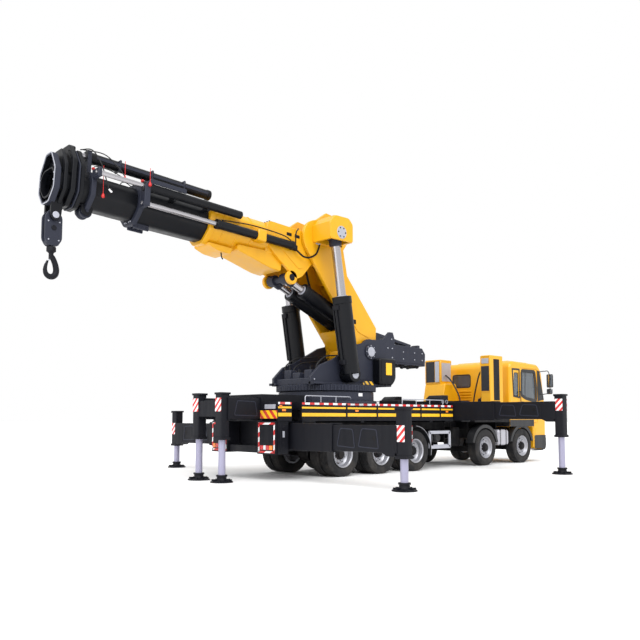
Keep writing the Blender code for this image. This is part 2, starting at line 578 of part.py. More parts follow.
def cylinder_rod(foot, head, y, radius, inner, eye_r):
    """A bright rod from its inner end to the ring at its eye."""
    start, end = along(foot, head, inner), Vector(head)
    return [rod((start.x, y, start.y), (end.x, y, end.y), radius),
            disc_y(end.x, end.y, eye_r, y - 0.15, y + 0.15, 20)]


def cylinder_barrel(foot, head, y, barrel, bore_r, inner):
    """The barrel from its foot pin, and the bore that its rod runs in."""
    radius, length = barrel
    low, start, end = along(foot, head, 0.02), along(foot, head, inner), along(foot, head, length)
    beyond = along(foot, head, length + 0.1)
    tube = rod((low.x, y, low.y), (end.x, y, end.y), radius)
    bore = rod((start.x, y, start.y), (beyond.x, y, beyond.y), bore_r)
    return tube, bore


def luffing_cylinders():
    fx, fz = LUFF_FOOT
    inner = 0.90
    shapes = [disc_y(fx, fz, 0.12, -LUFF_Y, LUFF_Y)]
    cuts = []
    for side in (-1, 1):
        tube, bore = cylinder_barrel(LUFF_FOOT, LUFF_HEAD, side * LUFF_Y, LUFF_BARREL,
                                     LUFF_ROD_R + GAP, inner - 0.62)
        shapes += [tube, disc_y(fx, fz, 0.20, side * (LUFF_Y - 0.16), side * (LUFF_Y + 0.16)),
                   disc_y(fx, fz, 0.17, side * (CHEEK_Y[1] + GAP), side * LUFF_Y)]
        cuts.append(bore)
        name = "left" if side > 0 else "right"
        piece(f"luffing_rod_{name}", "steel",
              cylinder_rod(LUFF_FOOT, LUFF_HEAD, side * LUFF_Y, LUFF_ROD_R, inner, 0.18),
              pivot=(LUFF_HEAD[0], side * LUFF_Y, LUFF_HEAD[1]))
    piece("luffing_barrels", "black", shapes, cuts, pivot=(fx, 0, fz))


def articulation_cylinders():
    fx, fz = ARTIC_FOOT
    ex, ez = ARTIC_EYE
    inner = 0.45
    shapes = [disc_y(fx, fz, 0.10, -BOOM_SIDE_Y[0] + GAP, BOOM_SIDE_Y[0] - GAP)]
    rods = [disc_y(ex, ez, 0.08, -ARTIC_Y - 0.1, ARTIC_Y + 0.1)]
    cuts = []
    for side in (-1, 1):
        y = side * ARTIC_Y
        tube, bore = cylinder_barrel(ARTIC_FOOT, ARTIC_EYE, y, ARTIC_BARREL, ARTIC_ROD_R + GAP, inner - 0.2)
        shapes += [tube, disc_y(fx, fz, 0.17, y - 0.13, y + 0.13)]
        cuts.append(bore)
        start = along(ARTIC_FOOT, ARTIC_EYE, inner)
        rods += [rod((start.x, y, start.y), (ex, y, ez), ARTIC_ROD_R),
                 disc_y(ex, ez, 0.14, y - 0.11, y + 0.11)]
    piece("articulation_barrels", "black", shapes, cuts, pivot=(fx, 0, fz))
    piece("articulation_rods", "steel", rods, pivot=(ex, 0, ez))


# ---------------------------------------------------------------- boom, in its own coordinates
def boom_xz(u, w):
    """Where a boom point is: u along the boom from the knuckle pin, w square to it."""
    c, s = math.cos(BOOM_RISE), math.sin(BOOM_RISE)
    return KNUCKLE[0] - u * c + w * s, KNUCKLE[1] + u * s + w * c


def boom_point(u, y, w):
    x, z = boom_xz(u, w)
    return x, y, z


def boom_plate(outline, y0, y1):
    return plate([boom_xz(u, w) for u, w in outline], y0, y1)


def boom_rod(y, w, u0, u1, radius, sides=ROUND):
    return rod(boom_point(u0, y, w), boom_point(u1, y, w), radius, sides=sides)


def boom_block(u, y, w):
    """A block along the boom."""
    (u0, u1), (y0, y1), (w0, w1) = sorted(u), sorted(y), sorted(w)
    return boom_plate([(u0, w0), (u1, w0), (u1, w1), (u0, w1)], y0, y1)


def nested(depth):
    """Half width, top and bottom of a tube: 0 is the housing, each next one inside the last."""
    half, top, bottom = HOUSING_BOX
    inset = 0.0
    if depth:
        inset = HOUSING_WALL_T + SECTION_GAP + (depth - 1) * (SECTION_WALL + SECTION_GAP)
    return half - inset, top - inset, bottom + inset


def tube_outline(half, top, bottom, u):
    """Eight-sided tube section at u: chamfered shoulders, and a keel narrower than the sides."""
    shoulder, knee = top - 0.38 * half, bottom + 0.62 * half
    ring = [(-0.60 * half, top), (0.60 * half, top), (half, shoulder), (half, knee),
            (0.38 * half, bottom), (-0.38 * half, bottom), (-half, knee), (-half, shoulder)]
    return [boom_point(u, y, w) for y, w in ring]


def tube(size, u0, u1, inset=0.0):
    half, top, bottom = size
    size = (half - inset, top - inset, bottom + inset)
    return loft(tube_outline(*size, u0), tube_outline(*size, u1))


def outer_boom():
    size = nested(0)
    body = tube(size, 0.62, HOUSING_TIP)
    collar = tube(size, HOUSING_TIP - 0.12, HOUSING_TIP, -0.028)
    half = size[0]
    side = [(-0.25, 0.12), (1.5, 0.14), (1.60, -0.30), (1.31, -0.60), (0.55, -1.12), (0.36, -1.02),
            (-0.12, -0.42)]
    eu, ew = 0.694, -1.098
    plates = []
    for s in (-1, 1):
        plates += [boom_plate(side, s * (half - 0.07), s * half),
                   disc_y(KNUCKLE[0], KNUCKLE[1], 0.42, s * (half - 0.07), s * half),
                   rod(boom_point(eu, s * (half - 0.07), ew), boom_point(eu, s * half, ew), 0.17)]
    middle = boom_plate([(0.10, 0.11), (1.50, 0.12), (1.60, -0.30), (1.31, -0.58), (0.90, -0.76),
                         (0.20, -0.30)], -half + 0.05, half - 0.05)
    boss = disc_y(KNUCKLE[0], KNUCKLE[1], 0.26, -BOOM_SIDE_Y[0] + GAP, BOOM_SIDE_Y[0] - GAP)
    barrels, bores = [], []
    for s in (-1, 1):
        y, w = s * SIDE_CYL_Y, SIDE_CYL_W
        barrels += [boom_rod(y, w, 0.80, 3.05, SIDE_CYL_R),
                    boom_block((1.72, 1.92), (s * (half - 0.03), s * (SIDE_CYL_Y + 0.12)),
                               (w - 0.13, w + 0.13))]
        bores.append(boom_rod(y, w, 0.90, 3.2, 0.055 + GAP))
    hollow = tube(size, 0.90, HOUSING_TIP + 0.1, HOUSING_WALL_T)
    piece("outer_boom", "yellow", [body, collar, middle, boss] + plates + barrels, [hollow] + bores,
          pivot=(KNUCKLE[0], 0, KNUCKLE[1]))


def section_tube(depth, wall):
    """Tube of a telescope section with its tip collar and the wear pad at its tail."""
    u0, u1 = SECTION_U[str(depth)]
    half, top, bottom = nested(depth)
    pad = boom_block((u0 + 0.02, u0 + 0.25), (-0.06, 0.06), (bottom - SECTION_GAP + GAP, bottom + 0.01))
    collar = tube((half, top, bottom), u1 - 0.10, u1, -0.055)
    return [tube((half, top, bottom), u0, u1), collar, pad], tube((half, top, bottom), u0 - 0.1, u1 + 0.8, wall)


def section_1():
    shapes, hollow = section_tube(1, SECTION_WALL)
    u1 = SECTION_U["1"][1]
    half = nested(1)[0]
    bores = []
    for s in (-1, 1):
        shapes += [boom_block((u1 - 0.088, u1 - 0.006), (s * (half - 0.01), s * 0.68),
                              (SIDE_CYL_W - 0.08, UPPER_CYL_W + 0.11)),
                   boom_rod(s * SIDE_CYL_Y, SIDE_CYL_W, 2.40, u1 - 0.05, 0.055),
                   boom_rod(s * UPPER_CYL_Y, UPPER_CYL_W, 2.40, u1 - 0.02, UPPER_CYL_R)]
        bores.append(boom_rod(s * UPPER_CYL_Y, UPPER_CYL_W, 2.50, u1 + 0.1, 0.05 + GAP))
    piece("boom_section_1", "black", shapes, [hollow] + bores, pivot=boom_point(u1, 0, 0))


def section_2():
    shapes, hollow = section_tube(2, SECTION_WALL)
    u1 = SECTION_U["2"][1]
    half, top, _ = nested(2)
    for s in (-1, 1):
        shapes += [boom_block((u1 - 0.088, u1 - 0.006), (s * (half - 0.01), s * 0.66),
                              (UPPER_CYL_W - 0.09, UPPER_CYL_W + 0.09)),
                   boom_rod(s * UPPER_CYL_Y, UPPER_CYL_W, 3.40, u1 - 0.05, 0.05)]
    shapes += [boom_block((u1 - 0.088, u1 - 0.006), (-0.14, 0.14), (top - 0.01, TOP_CYL_W + 0.10)),
               boom_rod(0, TOP_CYL_W, 2.92, u1 - 0.02, TOP_CYL_R)]
    bore = boom_rod(0, TOP_CYL_W, 3.05, u1 + 0.1, 0.06 + GAP)
    piece("boom_section_2", "black", shapes, [hollow, bore], pivot=boom_point(u1, 0, 0))


def section_3():
    """The last section, with the boom head, its stacked flanges and the hook lugs."""
    shapes, hollow = section_tube(3, SECTION_WALL)
    half, top, bottom = nested(3)
    u1 = SECTION_U["3"][1]
    for back, front, wide, high in ((0.58, 0.49, 0.41, 0.50), (0.40, 0.31, 0.43, 0.56),
                                    (0.24, 0.17, 0.41, 0.44)):
        shapes.append(head_flange(u1 - back, u1 - front, wide, high))
    mouth = head_flange(u1 - 0.12, u1 + 0.02, 0.37, 0.22)
    shapes += [mouth, boom_block((u1 - 0.55, u1 - 0.20), (-0.12, 0.12), (top - 0.01, 0.36)),
               boom_rod(0, TOP_CYL_W, 3.20, u1 - 0.36, 0.06)]
    pu, pw = HOOK_PIN
    for s in (-1, 1):
        shapes.append(boom_block((pu - 0.08, pu + 0.08), (s * 0.11, s * 0.165), (pw - 0.10, bottom + 0.01)))
    shapes.append(boom_rod_y(pu, pw, 0.04, 0.155))
    piece("boom_section_3", "black", shapes, [hollow], pivot=boom_point(u1, 0, 0))


def head_flange(u0, u1, wide, high):
    """A tall eight-sided plate round the boom head."""
    low = HEAD_BOTTOM
    half = [(0.36 * wide, high), (wide, high - 0.36), (wide, low + 0.26), (0.42 * wide, low)]
    ring = half + [(-y, w) for y, w in half[::-1]]
    return loft([boom_point(u0, y, w) for y, w in ring], [boom_point(u1, y, w) for y, w in ring])


def boom_rod_y(u, w, radius, half):
    """A cross pin through the boom at (u, w)."""
    return rod(boom_point(u, -half, w), boom_point(u, half, w), radius, sides=16)


def hook():
    """Hook block on the boom head's pin, and the hook that turns below it."""
    x, z = boom_xz(*HOOK_PIN)
    cheeks = plate([(x - 0.17, z - 0.02), (x - 0.10, z + 0.10), (x + 0.10, z + 0.10), (x + 0.17, z - 0.02),
                    (x + 0.16, z - 0.50), (x + 0.08, z - 0.60), (x - 0.08, z - 0.60), (x - 0.16, z - 0.50)],
                   -0.11 + PLAY, 0.11 - PLAY)
    bore = disc_y(x, z, 0.04 / math.cos(math.pi / 16) + GAP, -0.2, 0.2, 16)
    boss = disc_y(x, z, 0.075, -0.11 + GAP, 0.11 - GAP, 16)
    piece("hook_block", "dark", [cheeks, boss], [bore], pivot=(x, 0, z))
    top = z - 0.60 - GAP
    curve = arc((x, top - 0.36), 0.165, 85, -190, 14)
    inner = arc((x, top - 0.35), 0.085, -185, 95, 12)
    bill = plate(curve + inner, -0.05, 0.05)
    shapes = [bill, rod((x, 0, top), (x, 0, top - 0.24), 0.05, sides=16),
              rod((x, 0, top), (x, 0, top - 0.10), 0.085, sides=16)]
    piece("hook", "dark", shapes, pivot=(x, 0, top))


# ---------------------------------------------------------------- assembly
def stand_on_origin():
    """Moves everything so that the middle of the whole box's base is the origin."""
    bpy.context.view_layer.update()
    corners = [thing.matrix_world @ Vector(c) for thing in bpy.data.objects for c in thing.bound_box]
    low = [min(c[i] for c in corners) for i in range(3)]
    high = [max(c[i] for c in corners) for i in range(3)]
    shift = Vector(((low[0] + high[0]) / 2, (low[1] + high[1]) / 2, low[2]))
    for thing in bpy.data.objects:
        thing.location -= shift


def truck():
    chassis_frame()
    deck()
    rear_bumper()
    rear_bogie()
    engine_block()
    fuel_tank()
    cooling_units()
    cab_shell()
    cab_interior()
    for name, side in (("left", 1), ("right", -1)):
        cab_door(f"cab_door_{name}", side)
        for number, x in (("1", AXLE_FRONT_1), ("2", AXLE_FRONT_2)):
            steering_knuckle(f"steering_knuckle_{number}_{name}", x, side)
            wheel(f"front_wheel_{number}_{name}", x, side, False)
        for number, x in enumerate(AXLES_REAR, 1):
            wheel(f"rear_wheels_{number}_{name}", x, side, True)
    front_axle("front_axle_1", AXLE_FRONT_1)
    front_axle("front_axle_2", AXLE_FRONT_2)


def outriggers():
    outrigger_housing("outrigger_housing_rear", REAR_BEAM_X, REAR_BEAM_Z, None)
    outrigger_housing("outrigger_housing_front", FRONT_BEAM_X, FRONT_BEAM_Z, SUBFRAME_TOP + GAP)
    for side_name in ("left", "right"):
        outrigger("rear", side_name, REAR_BEAM_X[side_name], REAR_BEAM_Z, REAR_JACK_Z)
        outrigger("front", side_name, FRONT_BEAM_X[side_name], FRONT_BEAM_Z, FRONT_JACK_Z)
    rear_stabiliser()


def crane():
    slewing_base()
    turntable()
    stowed_jib()
    inner_boom()
    luffing_cylinders()
    articulation_cylinders()
    outer_boom()
    section_1()
    section_2()
    section_3()
    hook()


def main():
    for thing in list(bpy.data.objects):
        bpy.data.objects.remove(thing)
    truck()
    outriggers()
    crane()
    stand_on_origin()


main()
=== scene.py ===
"""Looks of a five-axle truck with a knuckle-boom crane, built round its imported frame.

Places along the truck are given from the rearmost axle, x forward, y left and z up from the
ground; places on the boom are given along it (u, from the knuckle pin towards the tip) and
square to it (w, upwards).  Every shape is a few rings of points joined by quads, and every
piece is a list of such shapes for each finish.
"""
import json
import math
import bmesh
import bpy
import numpy as np
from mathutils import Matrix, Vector


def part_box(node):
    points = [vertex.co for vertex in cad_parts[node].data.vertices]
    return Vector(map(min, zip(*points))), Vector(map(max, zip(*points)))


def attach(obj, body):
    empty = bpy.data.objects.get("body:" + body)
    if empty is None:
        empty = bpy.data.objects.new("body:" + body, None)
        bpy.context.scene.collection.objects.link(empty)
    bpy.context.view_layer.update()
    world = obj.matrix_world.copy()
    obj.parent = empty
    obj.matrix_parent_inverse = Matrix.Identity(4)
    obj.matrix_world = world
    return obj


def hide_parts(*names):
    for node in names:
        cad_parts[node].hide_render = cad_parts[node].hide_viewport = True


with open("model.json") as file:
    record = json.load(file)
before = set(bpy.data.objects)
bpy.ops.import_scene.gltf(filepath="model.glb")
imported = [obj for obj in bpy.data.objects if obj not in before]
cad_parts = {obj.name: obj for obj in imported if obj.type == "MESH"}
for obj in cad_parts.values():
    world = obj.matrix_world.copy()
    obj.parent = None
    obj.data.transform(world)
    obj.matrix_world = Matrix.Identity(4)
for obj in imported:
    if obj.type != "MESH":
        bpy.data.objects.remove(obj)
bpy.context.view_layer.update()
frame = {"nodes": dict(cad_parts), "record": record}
JOINTS = {j["name"]: j for j in frame["record"]["behaviour"]["joints"]}


def middle(node):
    """The centre of a CAD node's box."""
    return np.mean(np.array(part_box(node), float), axis=0)


X0 = float(middle("rear_wheels_1_left")[0])
TYRE_R = float(middle("rear_wheels_1_left")[2])
PIN = np.array(JOINTS["knuckle"]["pos_m"], float)
ALONG = np.array(JOINTS["telescope_1"]["axis"], float)
SQUARE = np.array([ALONG[2], 0.0, -ALONG[0]])
ACROSS = np.array([0.0, 1.0, 0.0])
SIDES = (("right", -1), ("left", 1))


# ------------------------------------------------------------------ where a shape's points go
def side(a, b, t):
    """Side view: a along the truck, b up, thickness t across."""
    return np.stack(np.broadcast_arrays(a + X0, t, b), -1)


def plan(a, b, t):
    """Plan view: a along the truck, b across, height t."""
    return np.stack(np.broadcast_arrays(a + X0, b, t), -1)


def front(a, b, t):
    """Front view: a across, b up, t along the truck."""
    return np.stack(np.broadcast_arrays(t + X0, a, b), -1)


def boom_side(u, w, t):
    """Side view of the boom: u along it, w square to it, t across."""
    u, w, t = (v[..., None] for v in np.broadcast_arrays(u, w, t))
    return PIN + u * ALONG + w * SQUARE + t * ACROSS


def boom_front(y, w, t):
    """Section of the boom: y across, w square to it, t along it."""
    return boom_side(t, w, y)


def boom_plan(u, y, t):
    """Seen from above the boom: u along it, y across, t square to it."""
    return boom_side(u, t, y)


def axial(foot, head, y):
    """Along a cylinder: t runs from its foot pin to its head pin, both given as (x, z)."""
    foot, head = np.array(foot, float), np.array(head, float)
    way = (head - foot) / np.linalg.norm(head - foot)

    def place(a, b, t):
        a, b, t = np.broadcast_arrays(a, b, t)
        return np.stack([foot[0] + X0 + way[0] * t - way[1] * b, y + a,
                         foot[1] + way[1] * t + way[0] * b], -1)
    return place


# ------------------------------------------------------------------ shapes
def skin(rings, wrap=False):
    """Quads between each ring of points and the next; flat ends, or joined round if wrap."""
    rows, cols = rings.shape[:2]
    r, c = np.meshgrid(np.arange(rows if wrap else rows - 1), np.arange(cols), indexing="ij")
    r2, c2 = (r + 1) % rows, (c + 1) % cols
    faces = np.stack([r * cols + c, r2 * cols + c, r2 * cols + c2, r * cols + c2], -1)
    faces = faces.reshape(-1, 4).tolist()
    if not wrap:
        faces += [list(range(cols)), list(range((rows - 1) * cols, rows * cols))]
    return rings.reshape(-1, 3), faces


def inset(outline, amount):
    """Each corner moves in along the sum of its two edge normals over one plus their product."""
    p = np.asarray(outline, float)
    after = np.roll(p, -1, 0) - p
    if np.sum(p[:, 0] * np.roll(p[:, 1], -1) - p[:, 1] * np.roll(p[:, 0], -1)) < 0:
        p = p[::-1]
        after = np.roll(p, -1, 0) - p
    normal = np.stack([-after[:, 1], after[:, 0]], -1)
    normal /= np.linalg.norm(normal, axis=1, keepdims=True)
    before = np.roll(normal, 1, 0)
    share = np.maximum(1 + np.sum(normal * before, axis=1, keepdims=True), 0.35)
    return p + amount * (normal + before) / share


def prism(outline, t0, t1, bevel=0.006, how=side):
    """An outline carried along t, its edges taken off by the bevel at both ends."""
    t0, t1 = min(t0, t1), max(t0, t1)
    bevel = min(bevel, 0.45 * (t1 - t0))
    full, small = inset(outline, 0.0), inset(outline, bevel)
    steps = ((small, t0), (full, t0 + bevel), (full, t1 - bevel), (small, t1))
    return skin(np.stack([how(o[:, 0], o[:, 1], np.full(len(o), t)) for o, t in steps]))


def rounded(a, b, radius, steps=4):
    """A rectangle whose corners are arcs of the radius."""
    (a0, a1), (b0, b1) = sorted(a), sorted(b)
    turn = np.linspace(0, math.pi / 2, steps + 1)
    corners = []
    for k, (ca, cb) in enumerate(((a1 - radius, b1 - radius), (a0 + radius, b1 - radius),
                                  (a0 + radius, b0 + radius), (a1 - radius, b0 + radius))):
        angle = turn + k * math.pi / 2
        corners.append(np.stack([ca + radius * np.cos(angle), cb + radius * np.sin(angle)], -1))
    return np.concatenate(corners)


def block(x, y, z, bevel=0.008, how=side):
    """A block with chamfered edges, between two values on each axis."""
    bevel = min([bevel] + [0.45 * abs(v[1] - v[0]) for v in (x, y, z)])
    return prism(rounded(x, z, bevel, 1), *y, bevel, how)


def boom_block(u, y, w, bevel=0.006):
    return block(u, y, w, bevel, boom_side)


def circle(count, phase=0.0):
    """The cosine and sine of evenly spaced angles."""
    angle = phase + np.linspace(0, 2 * math.pi, count, endpoint=False)
    return np.cos(angle), np.sin(angle)


def turned(profile, centre, how=side, sides=40, wrap=False, teeth=None):
    """A half section of (radius, t) turned about centre; teeth = (count, depth, t0, t1)."""
    r, t = np.array(profile, float).T
    radius = np.repeat(r[:, None], sides, 1)
    if teeth:
        count, depth, t0, t1 = teeth
        step = (np.arange(sides) * count / sides) % 1 < 0.5
        radius = radius + depth * step[None] * ((t >= t0) & (t <= t1))[:, None]
    cos, sin = circle(sides)
    return skin(how(centre[0] + radius * cos, centre[1] + radius * sin, t[:, None]), wrap)


def drum(radius, t0, t1, centre, how=side, bevel=0.008, sides=40):
    """A round bar or disc with its edges taken off."""
    t0, t1 = min(t0, t1), max(t0, t1)
    bevel = min(bevel, 0.4 * (t1 - t0), 0.4 * radius)
    return turned([(radius - bevel, t0), (radius, t0 + bevel), (radius, t1 - bevel),
                   (radius - bevel, t1)], centre, how, sides)


def hoop(outer, inner, t0, t1, centre, how=side, sides=40):
    """A flat ring."""
    return turned([(inner, t0), (outer, t0), (outer, t1), (inner, t1)], centre, how, sides, True)


def ring_frame(outline, width, t0, t1, how=side):
    """A flat frame: the outline and the same outline moved in by the width, joined round."""
    outer, inner = inset(outline, 0.0), inset(outline, width)
    return skin(np.stack([how(o[:, 0], o[:, 1], np.full(len(o), t))
                          for o, t in ((outer, t0), (outer, t1), (inner, t1), (inner, t0))]), True)


def curve(points, steps=6):
    """A smooth line through the points: Catmull-Rom cubics, each in (1, t, t squared, t cubed)."""
    p = np.array(points, float)
    p = np.vstack([2 * p[0] - p[1], p, 2 * p[-1] - p[-2]])
    a, b, c, d = (v[:, None] for v in (p[:-3], p[1:-2], p[2:-1], p[3:]))
    t = np.linspace(0, 1, steps, endpoint=False)[None, :, None]
    line = 0.5 * (2 * b + (c - a) * t + (2 * a - 5 * b + 4 * c - d) * t ** 2
                  + (3 * b - a - 3 * c + d) * t ** 3)
    return np.vstack([line.reshape(-1, 3), p[-2]])


def pipe(points, radius, sides=10, steps=6):
    """A circle carried along a smooth line; radius may be a value for each given point."""
    line = curve(points, steps) if steps > 1 else np.array(points, float)
    line = line + [X0, 0, 0]
    size = np.broadcast_to(np.asarray(radius, float), (len(points),))
    size = np.interp(np.linspace(0, 1, len(line)), np.linspace(0, 1, len(points)), size)
    way = np.gradient(line, axis=0)
    way /= np.linalg.norm(way, axis=1, keepdims=True)
    flat = np.linalg.svd(line - line.mean(0))[2][-1]
    out = np.cross(way, flat)
    out /= np.maximum(np.linalg.norm(out, axis=1, keepdims=True), 1e-9)
    up = np.cross(out, way)
    cos, sin = circle(sides)
    ring = cos[None, :, None] * out[:, None] + sin[None, :, None] * up[:, None]
    return skin(line[:, None] + size[:, None, None] * ring)


def boom_pipe(points, radius, sides=10, steps=6):
    """A pipe whose points are (u, y, w) on the boom."""
    u, y, w = np.array(points, float).T
    return pipe(boom_side(u, w, y) - [X0, 0, 0], radius, sides, steps)


def band(radius, thick, start, end, centre, t0, t1, steps=20):
    """Part of a ring between two angles in degrees, such as a mudguard."""
    angle = np.radians(np.linspace(start, end, steps))
    arc = np.stack([np.cos(angle), np.sin(angle)], -1)
    return prism(np.vstack([centre + radius * arc, centre + (radius - thick) * arc[::-1]]), t0, t1,
                 0.003)


def bolts(places, radius, t0, t1, how=side):
    """Hexagonal heads at (a, b) places."""
    return [turned([(radius, t0), (radius, t1 - 0.003 * np.sign(t1 - t0)), (radius * 0.8, t1)], place,
                   how, 6) for place in places]


def on_circle(centre, radius, count, phase=0.0):
    cos, sin = circle(count, phase)
    return list(zip(centre[0] + radius * cos, centre[1] + radius * sin))


# ------------------------------------------------------------------ finishes
def tint(red, green, blue):
    """Screen colour, 0 to 255, as linear light."""
    c = np.array([red, green, blue]) / 255
    return tuple(np.where(c < 0.04045, c / 12.92, ((c + 0.055) / 1.055) ** 2.4)) + (1.0,)


class Nodes:
    """Short ways to add and join the nodes of one finish."""

    def __init__(self, name):
        self.material = bpy.data.materials.new(name)
        self.material.use_nodes = True
        self.tree = self.material.node_tree
        self.shader = self.tree.nodes["Principled BSDF"]
        self.where = self.add("ShaderNodeTexCoord").outputs["Object"]

    def add(self, kind, inputs=(), **settings):
        node = self.tree.nodes.new(kind)
        for key, value in settings.items():
            setattr(node, key, value)
        for key, value in dict(inputs).items():
            if isinstance(value, bpy.types.NodeSocket):
                self.tree.links.new(value, node.inputs[key])
            else:
                node.inputs[key].default_value = value
        return node

    def noise(self, scale, detail=4.0, stretch=(1, 1, 1)):
        where = self.add("ShaderNodeMapping", {"Vector": self.where, "Scale": stretch})
        return self.add("ShaderNodeTexNoise", {"Vector": where.outputs[0], "Scale": scale,
                                               "Detail": detail}).outputs["Fac"]

    def math(self, operation, a, b=0.0):
        return self.add("ShaderNodeMath", {0: a, 1: b}, operation=operation).outputs[0]

    def spread(self, value, low, high, to_low, to_high):
        return self.add("ShaderNodeMapRange", {"Value": value, "From Min": low, "From Max": high,
                                               "To Min": to_low, "To Max": to_high}).outputs[0]

    def mix(self, share, a, b):
        node = self.add("ShaderNodeMix", {"Factor": share, 6: a, 7: b}, data_type="RGBA")
        return node.outputs[2]

    def height(self):
        return self.add("ShaderNodeSeparateXYZ", {0: self.where}).outputs["Z"]

    def set(self, **inputs):
        for key, value in inputs.items():
            socket = self.shader.inputs[key.replace("_", " ")]
            if isinstance(value, bpy.types.NodeSocket):
                self.tree.links.new(value, socket)
            else:
                socket.default_value = value

    def bump(self, height, strength, distance):
        node = self.add("ShaderNodeBump", {"Height": height, "Strength": strength,
                                           "Distance": distance})
        self.set(Normal=node.outputs[0])


DUST = tint(150, 140, 128)


def coated(name, colour, rough=0.4, metal=0.0, coat=0.0, mottle=0.10, dust=0.25, grain=0.12,
           grain_scale=90.0, reach=1.5, shine=0.5):
    """Paint or metal: slow colour drift, fine streaks, dust that fades with height, fine grain."""
    n = Nodes(name)
    drift, streak = n.noise(1.3, 5.0), n.noise(7.0, 3.0, (1, 1, 0.12))
    low = tuple(v * (1 - mottle) for v in colour[:3]) + (1.0,)
    high = tuple(min(v * (1 + mottle), 1.0) for v in colour[:3]) + (1.0,)
    colour_out = n.mix(n.spread(n.math("ADD", drift, streak), 0.7, 1.3, 0.0, 1.0), low, high)
    if dust:
        fall = n.spread(n.height(), 0.0, reach, 1.0, 0.12)
        patch = n.spread(n.noise(3.5, 6.0), 0.42, 0.72, 0.0, dust)
        colour_out = n.mix(n.math("MULTIPLY", fall, patch), colour_out, DUST)
    n.set(Base_Color=colour_out, Metallic=metal, Coat_Weight=coat, Coat_Roughness=0.12,
          Specular_IOR_Level=shine,
          Roughness=n.spread(streak, 0.3, 0.7, rough * 0.82, min(rough * 1.25, 1.0)))
    n.bump(n.noise(grain_scale, 2.0), grain, 0.002)
    return n.material


def striped(name, first, second, pitch, lean, rough=0.4):
    """Bands: the distance along the lean direction, over the pitch, alternates the two colours."""
    n = Nodes(name)
    way = tuple(v / pitch for v in lean)
    run = n.add("ShaderNodeVectorMath", {0: n.where, 1: way}, operation="DOT_PRODUCT")
    step = n.math("GREATER_THAN", n.math("FRACT", run.outputs["Value"]), 0.5)
    grime = n.spread(n.noise(5.0), 0.45, 0.75, 0.0, 0.25)
    n.set(Base_Color=n.mix(grime, n.mix(step, first, second), DUST), Roughness=rough)
    n.bump(n.noise(150.0, 2.0), 0.08, 0.001)
    return n.material


def tread_plate(name, colour):
    """Floor plate: two crossed rows of short raised bars from products of sine waves."""
    n = Nodes(name)
    waves = [n.add("ShaderNodeTexWave", {"Vector": n.where, "Scale": 22.0, "Distortion": 0.0},
                   bands_direction=way).outputs["Fac"] for way in ("X", "Y")]
    bars = n.math("POWER", n.math("MULTIPLY", *waves), 2.0)
    worn = n.mix(n.spread(n.noise(2.0), 0.35, 0.7, 0.0, 0.6), colour, DUST)
    n.set(Base_Color=worn, Roughness=0.55, Metallic=0.2)
    n.bump(bars, 0.5, 0.004)
    return n.material


def woven(name, colour):
    """Seat cloth: fine crossed waves."""
    n = Nodes(name)
    waves = [n.add("ShaderNodeTexWave", {"Vector": n.where, "Scale": 90.0}, bands_direction=way
                   ).outputs["Fac"] for way in ("X", "Y", "Z")]
    weave = n.math("MULTIPLY", n.math("ADD", waves[0], waves[1]), waves[2])
    n.set(Base_Color=n.mix(weave, colour, tuple(1.6 * v for v in colour[:3]) + (1.0,)),
          Roughness=0.9, Sheen_Weight=0.3)
    n.bump(weave, 0.4, 0.002)
    return n.material


def meshed(name, colour):
    """Cooler face: fine upright fins; the colour is brighter on their raised edges, a painted highlight, and
    darker in the gaps between them, painted shade.
    """
    n = Nodes(name)
    fins = n.add("ShaderNodeTexWave", {"Vector": n.where, "Scale": 26.0}, bands_direction="Y"
                 ).outputs["Fac"]
    rows = n.add("ShaderNodeTexWave", {"Vector": n.where, "Scale": 9.0}, bands_direction="Z"
                 ).outputs["Fac"]
    both = n.math("MULTIPLY", fins, rows)
    # painted highlight and shade: the same fin pattern that raises the bump also brightens the colour on the fin
    # edges
    n.set(Base_Color=n.mix(both, colour, tuple(2.2 * v for v in colour[:3]) + (1.0,)), Roughness=0.6,
          Metallic=0.4)
    n.bump(both, 0.7, 0.006)
    return n.material


def glassy(name, colour, through, rough=0.03):
    """Window or lens: tinted, clear in part, with a slight film."""
    n = Nodes(name)
    film = n.spread(n.noise(2.5), 0.4, 0.7, 0.0, 0.25)
    n.set(Base_Color=n.mix(film, colour, tuple(min(1.25 * v + 0.02, 1) for v in colour[:3]) + (1.0,)),
          Roughness=rough, IOR=1.45, Transmission_Weight=through, Coat_Weight=0.6)
    return n.material


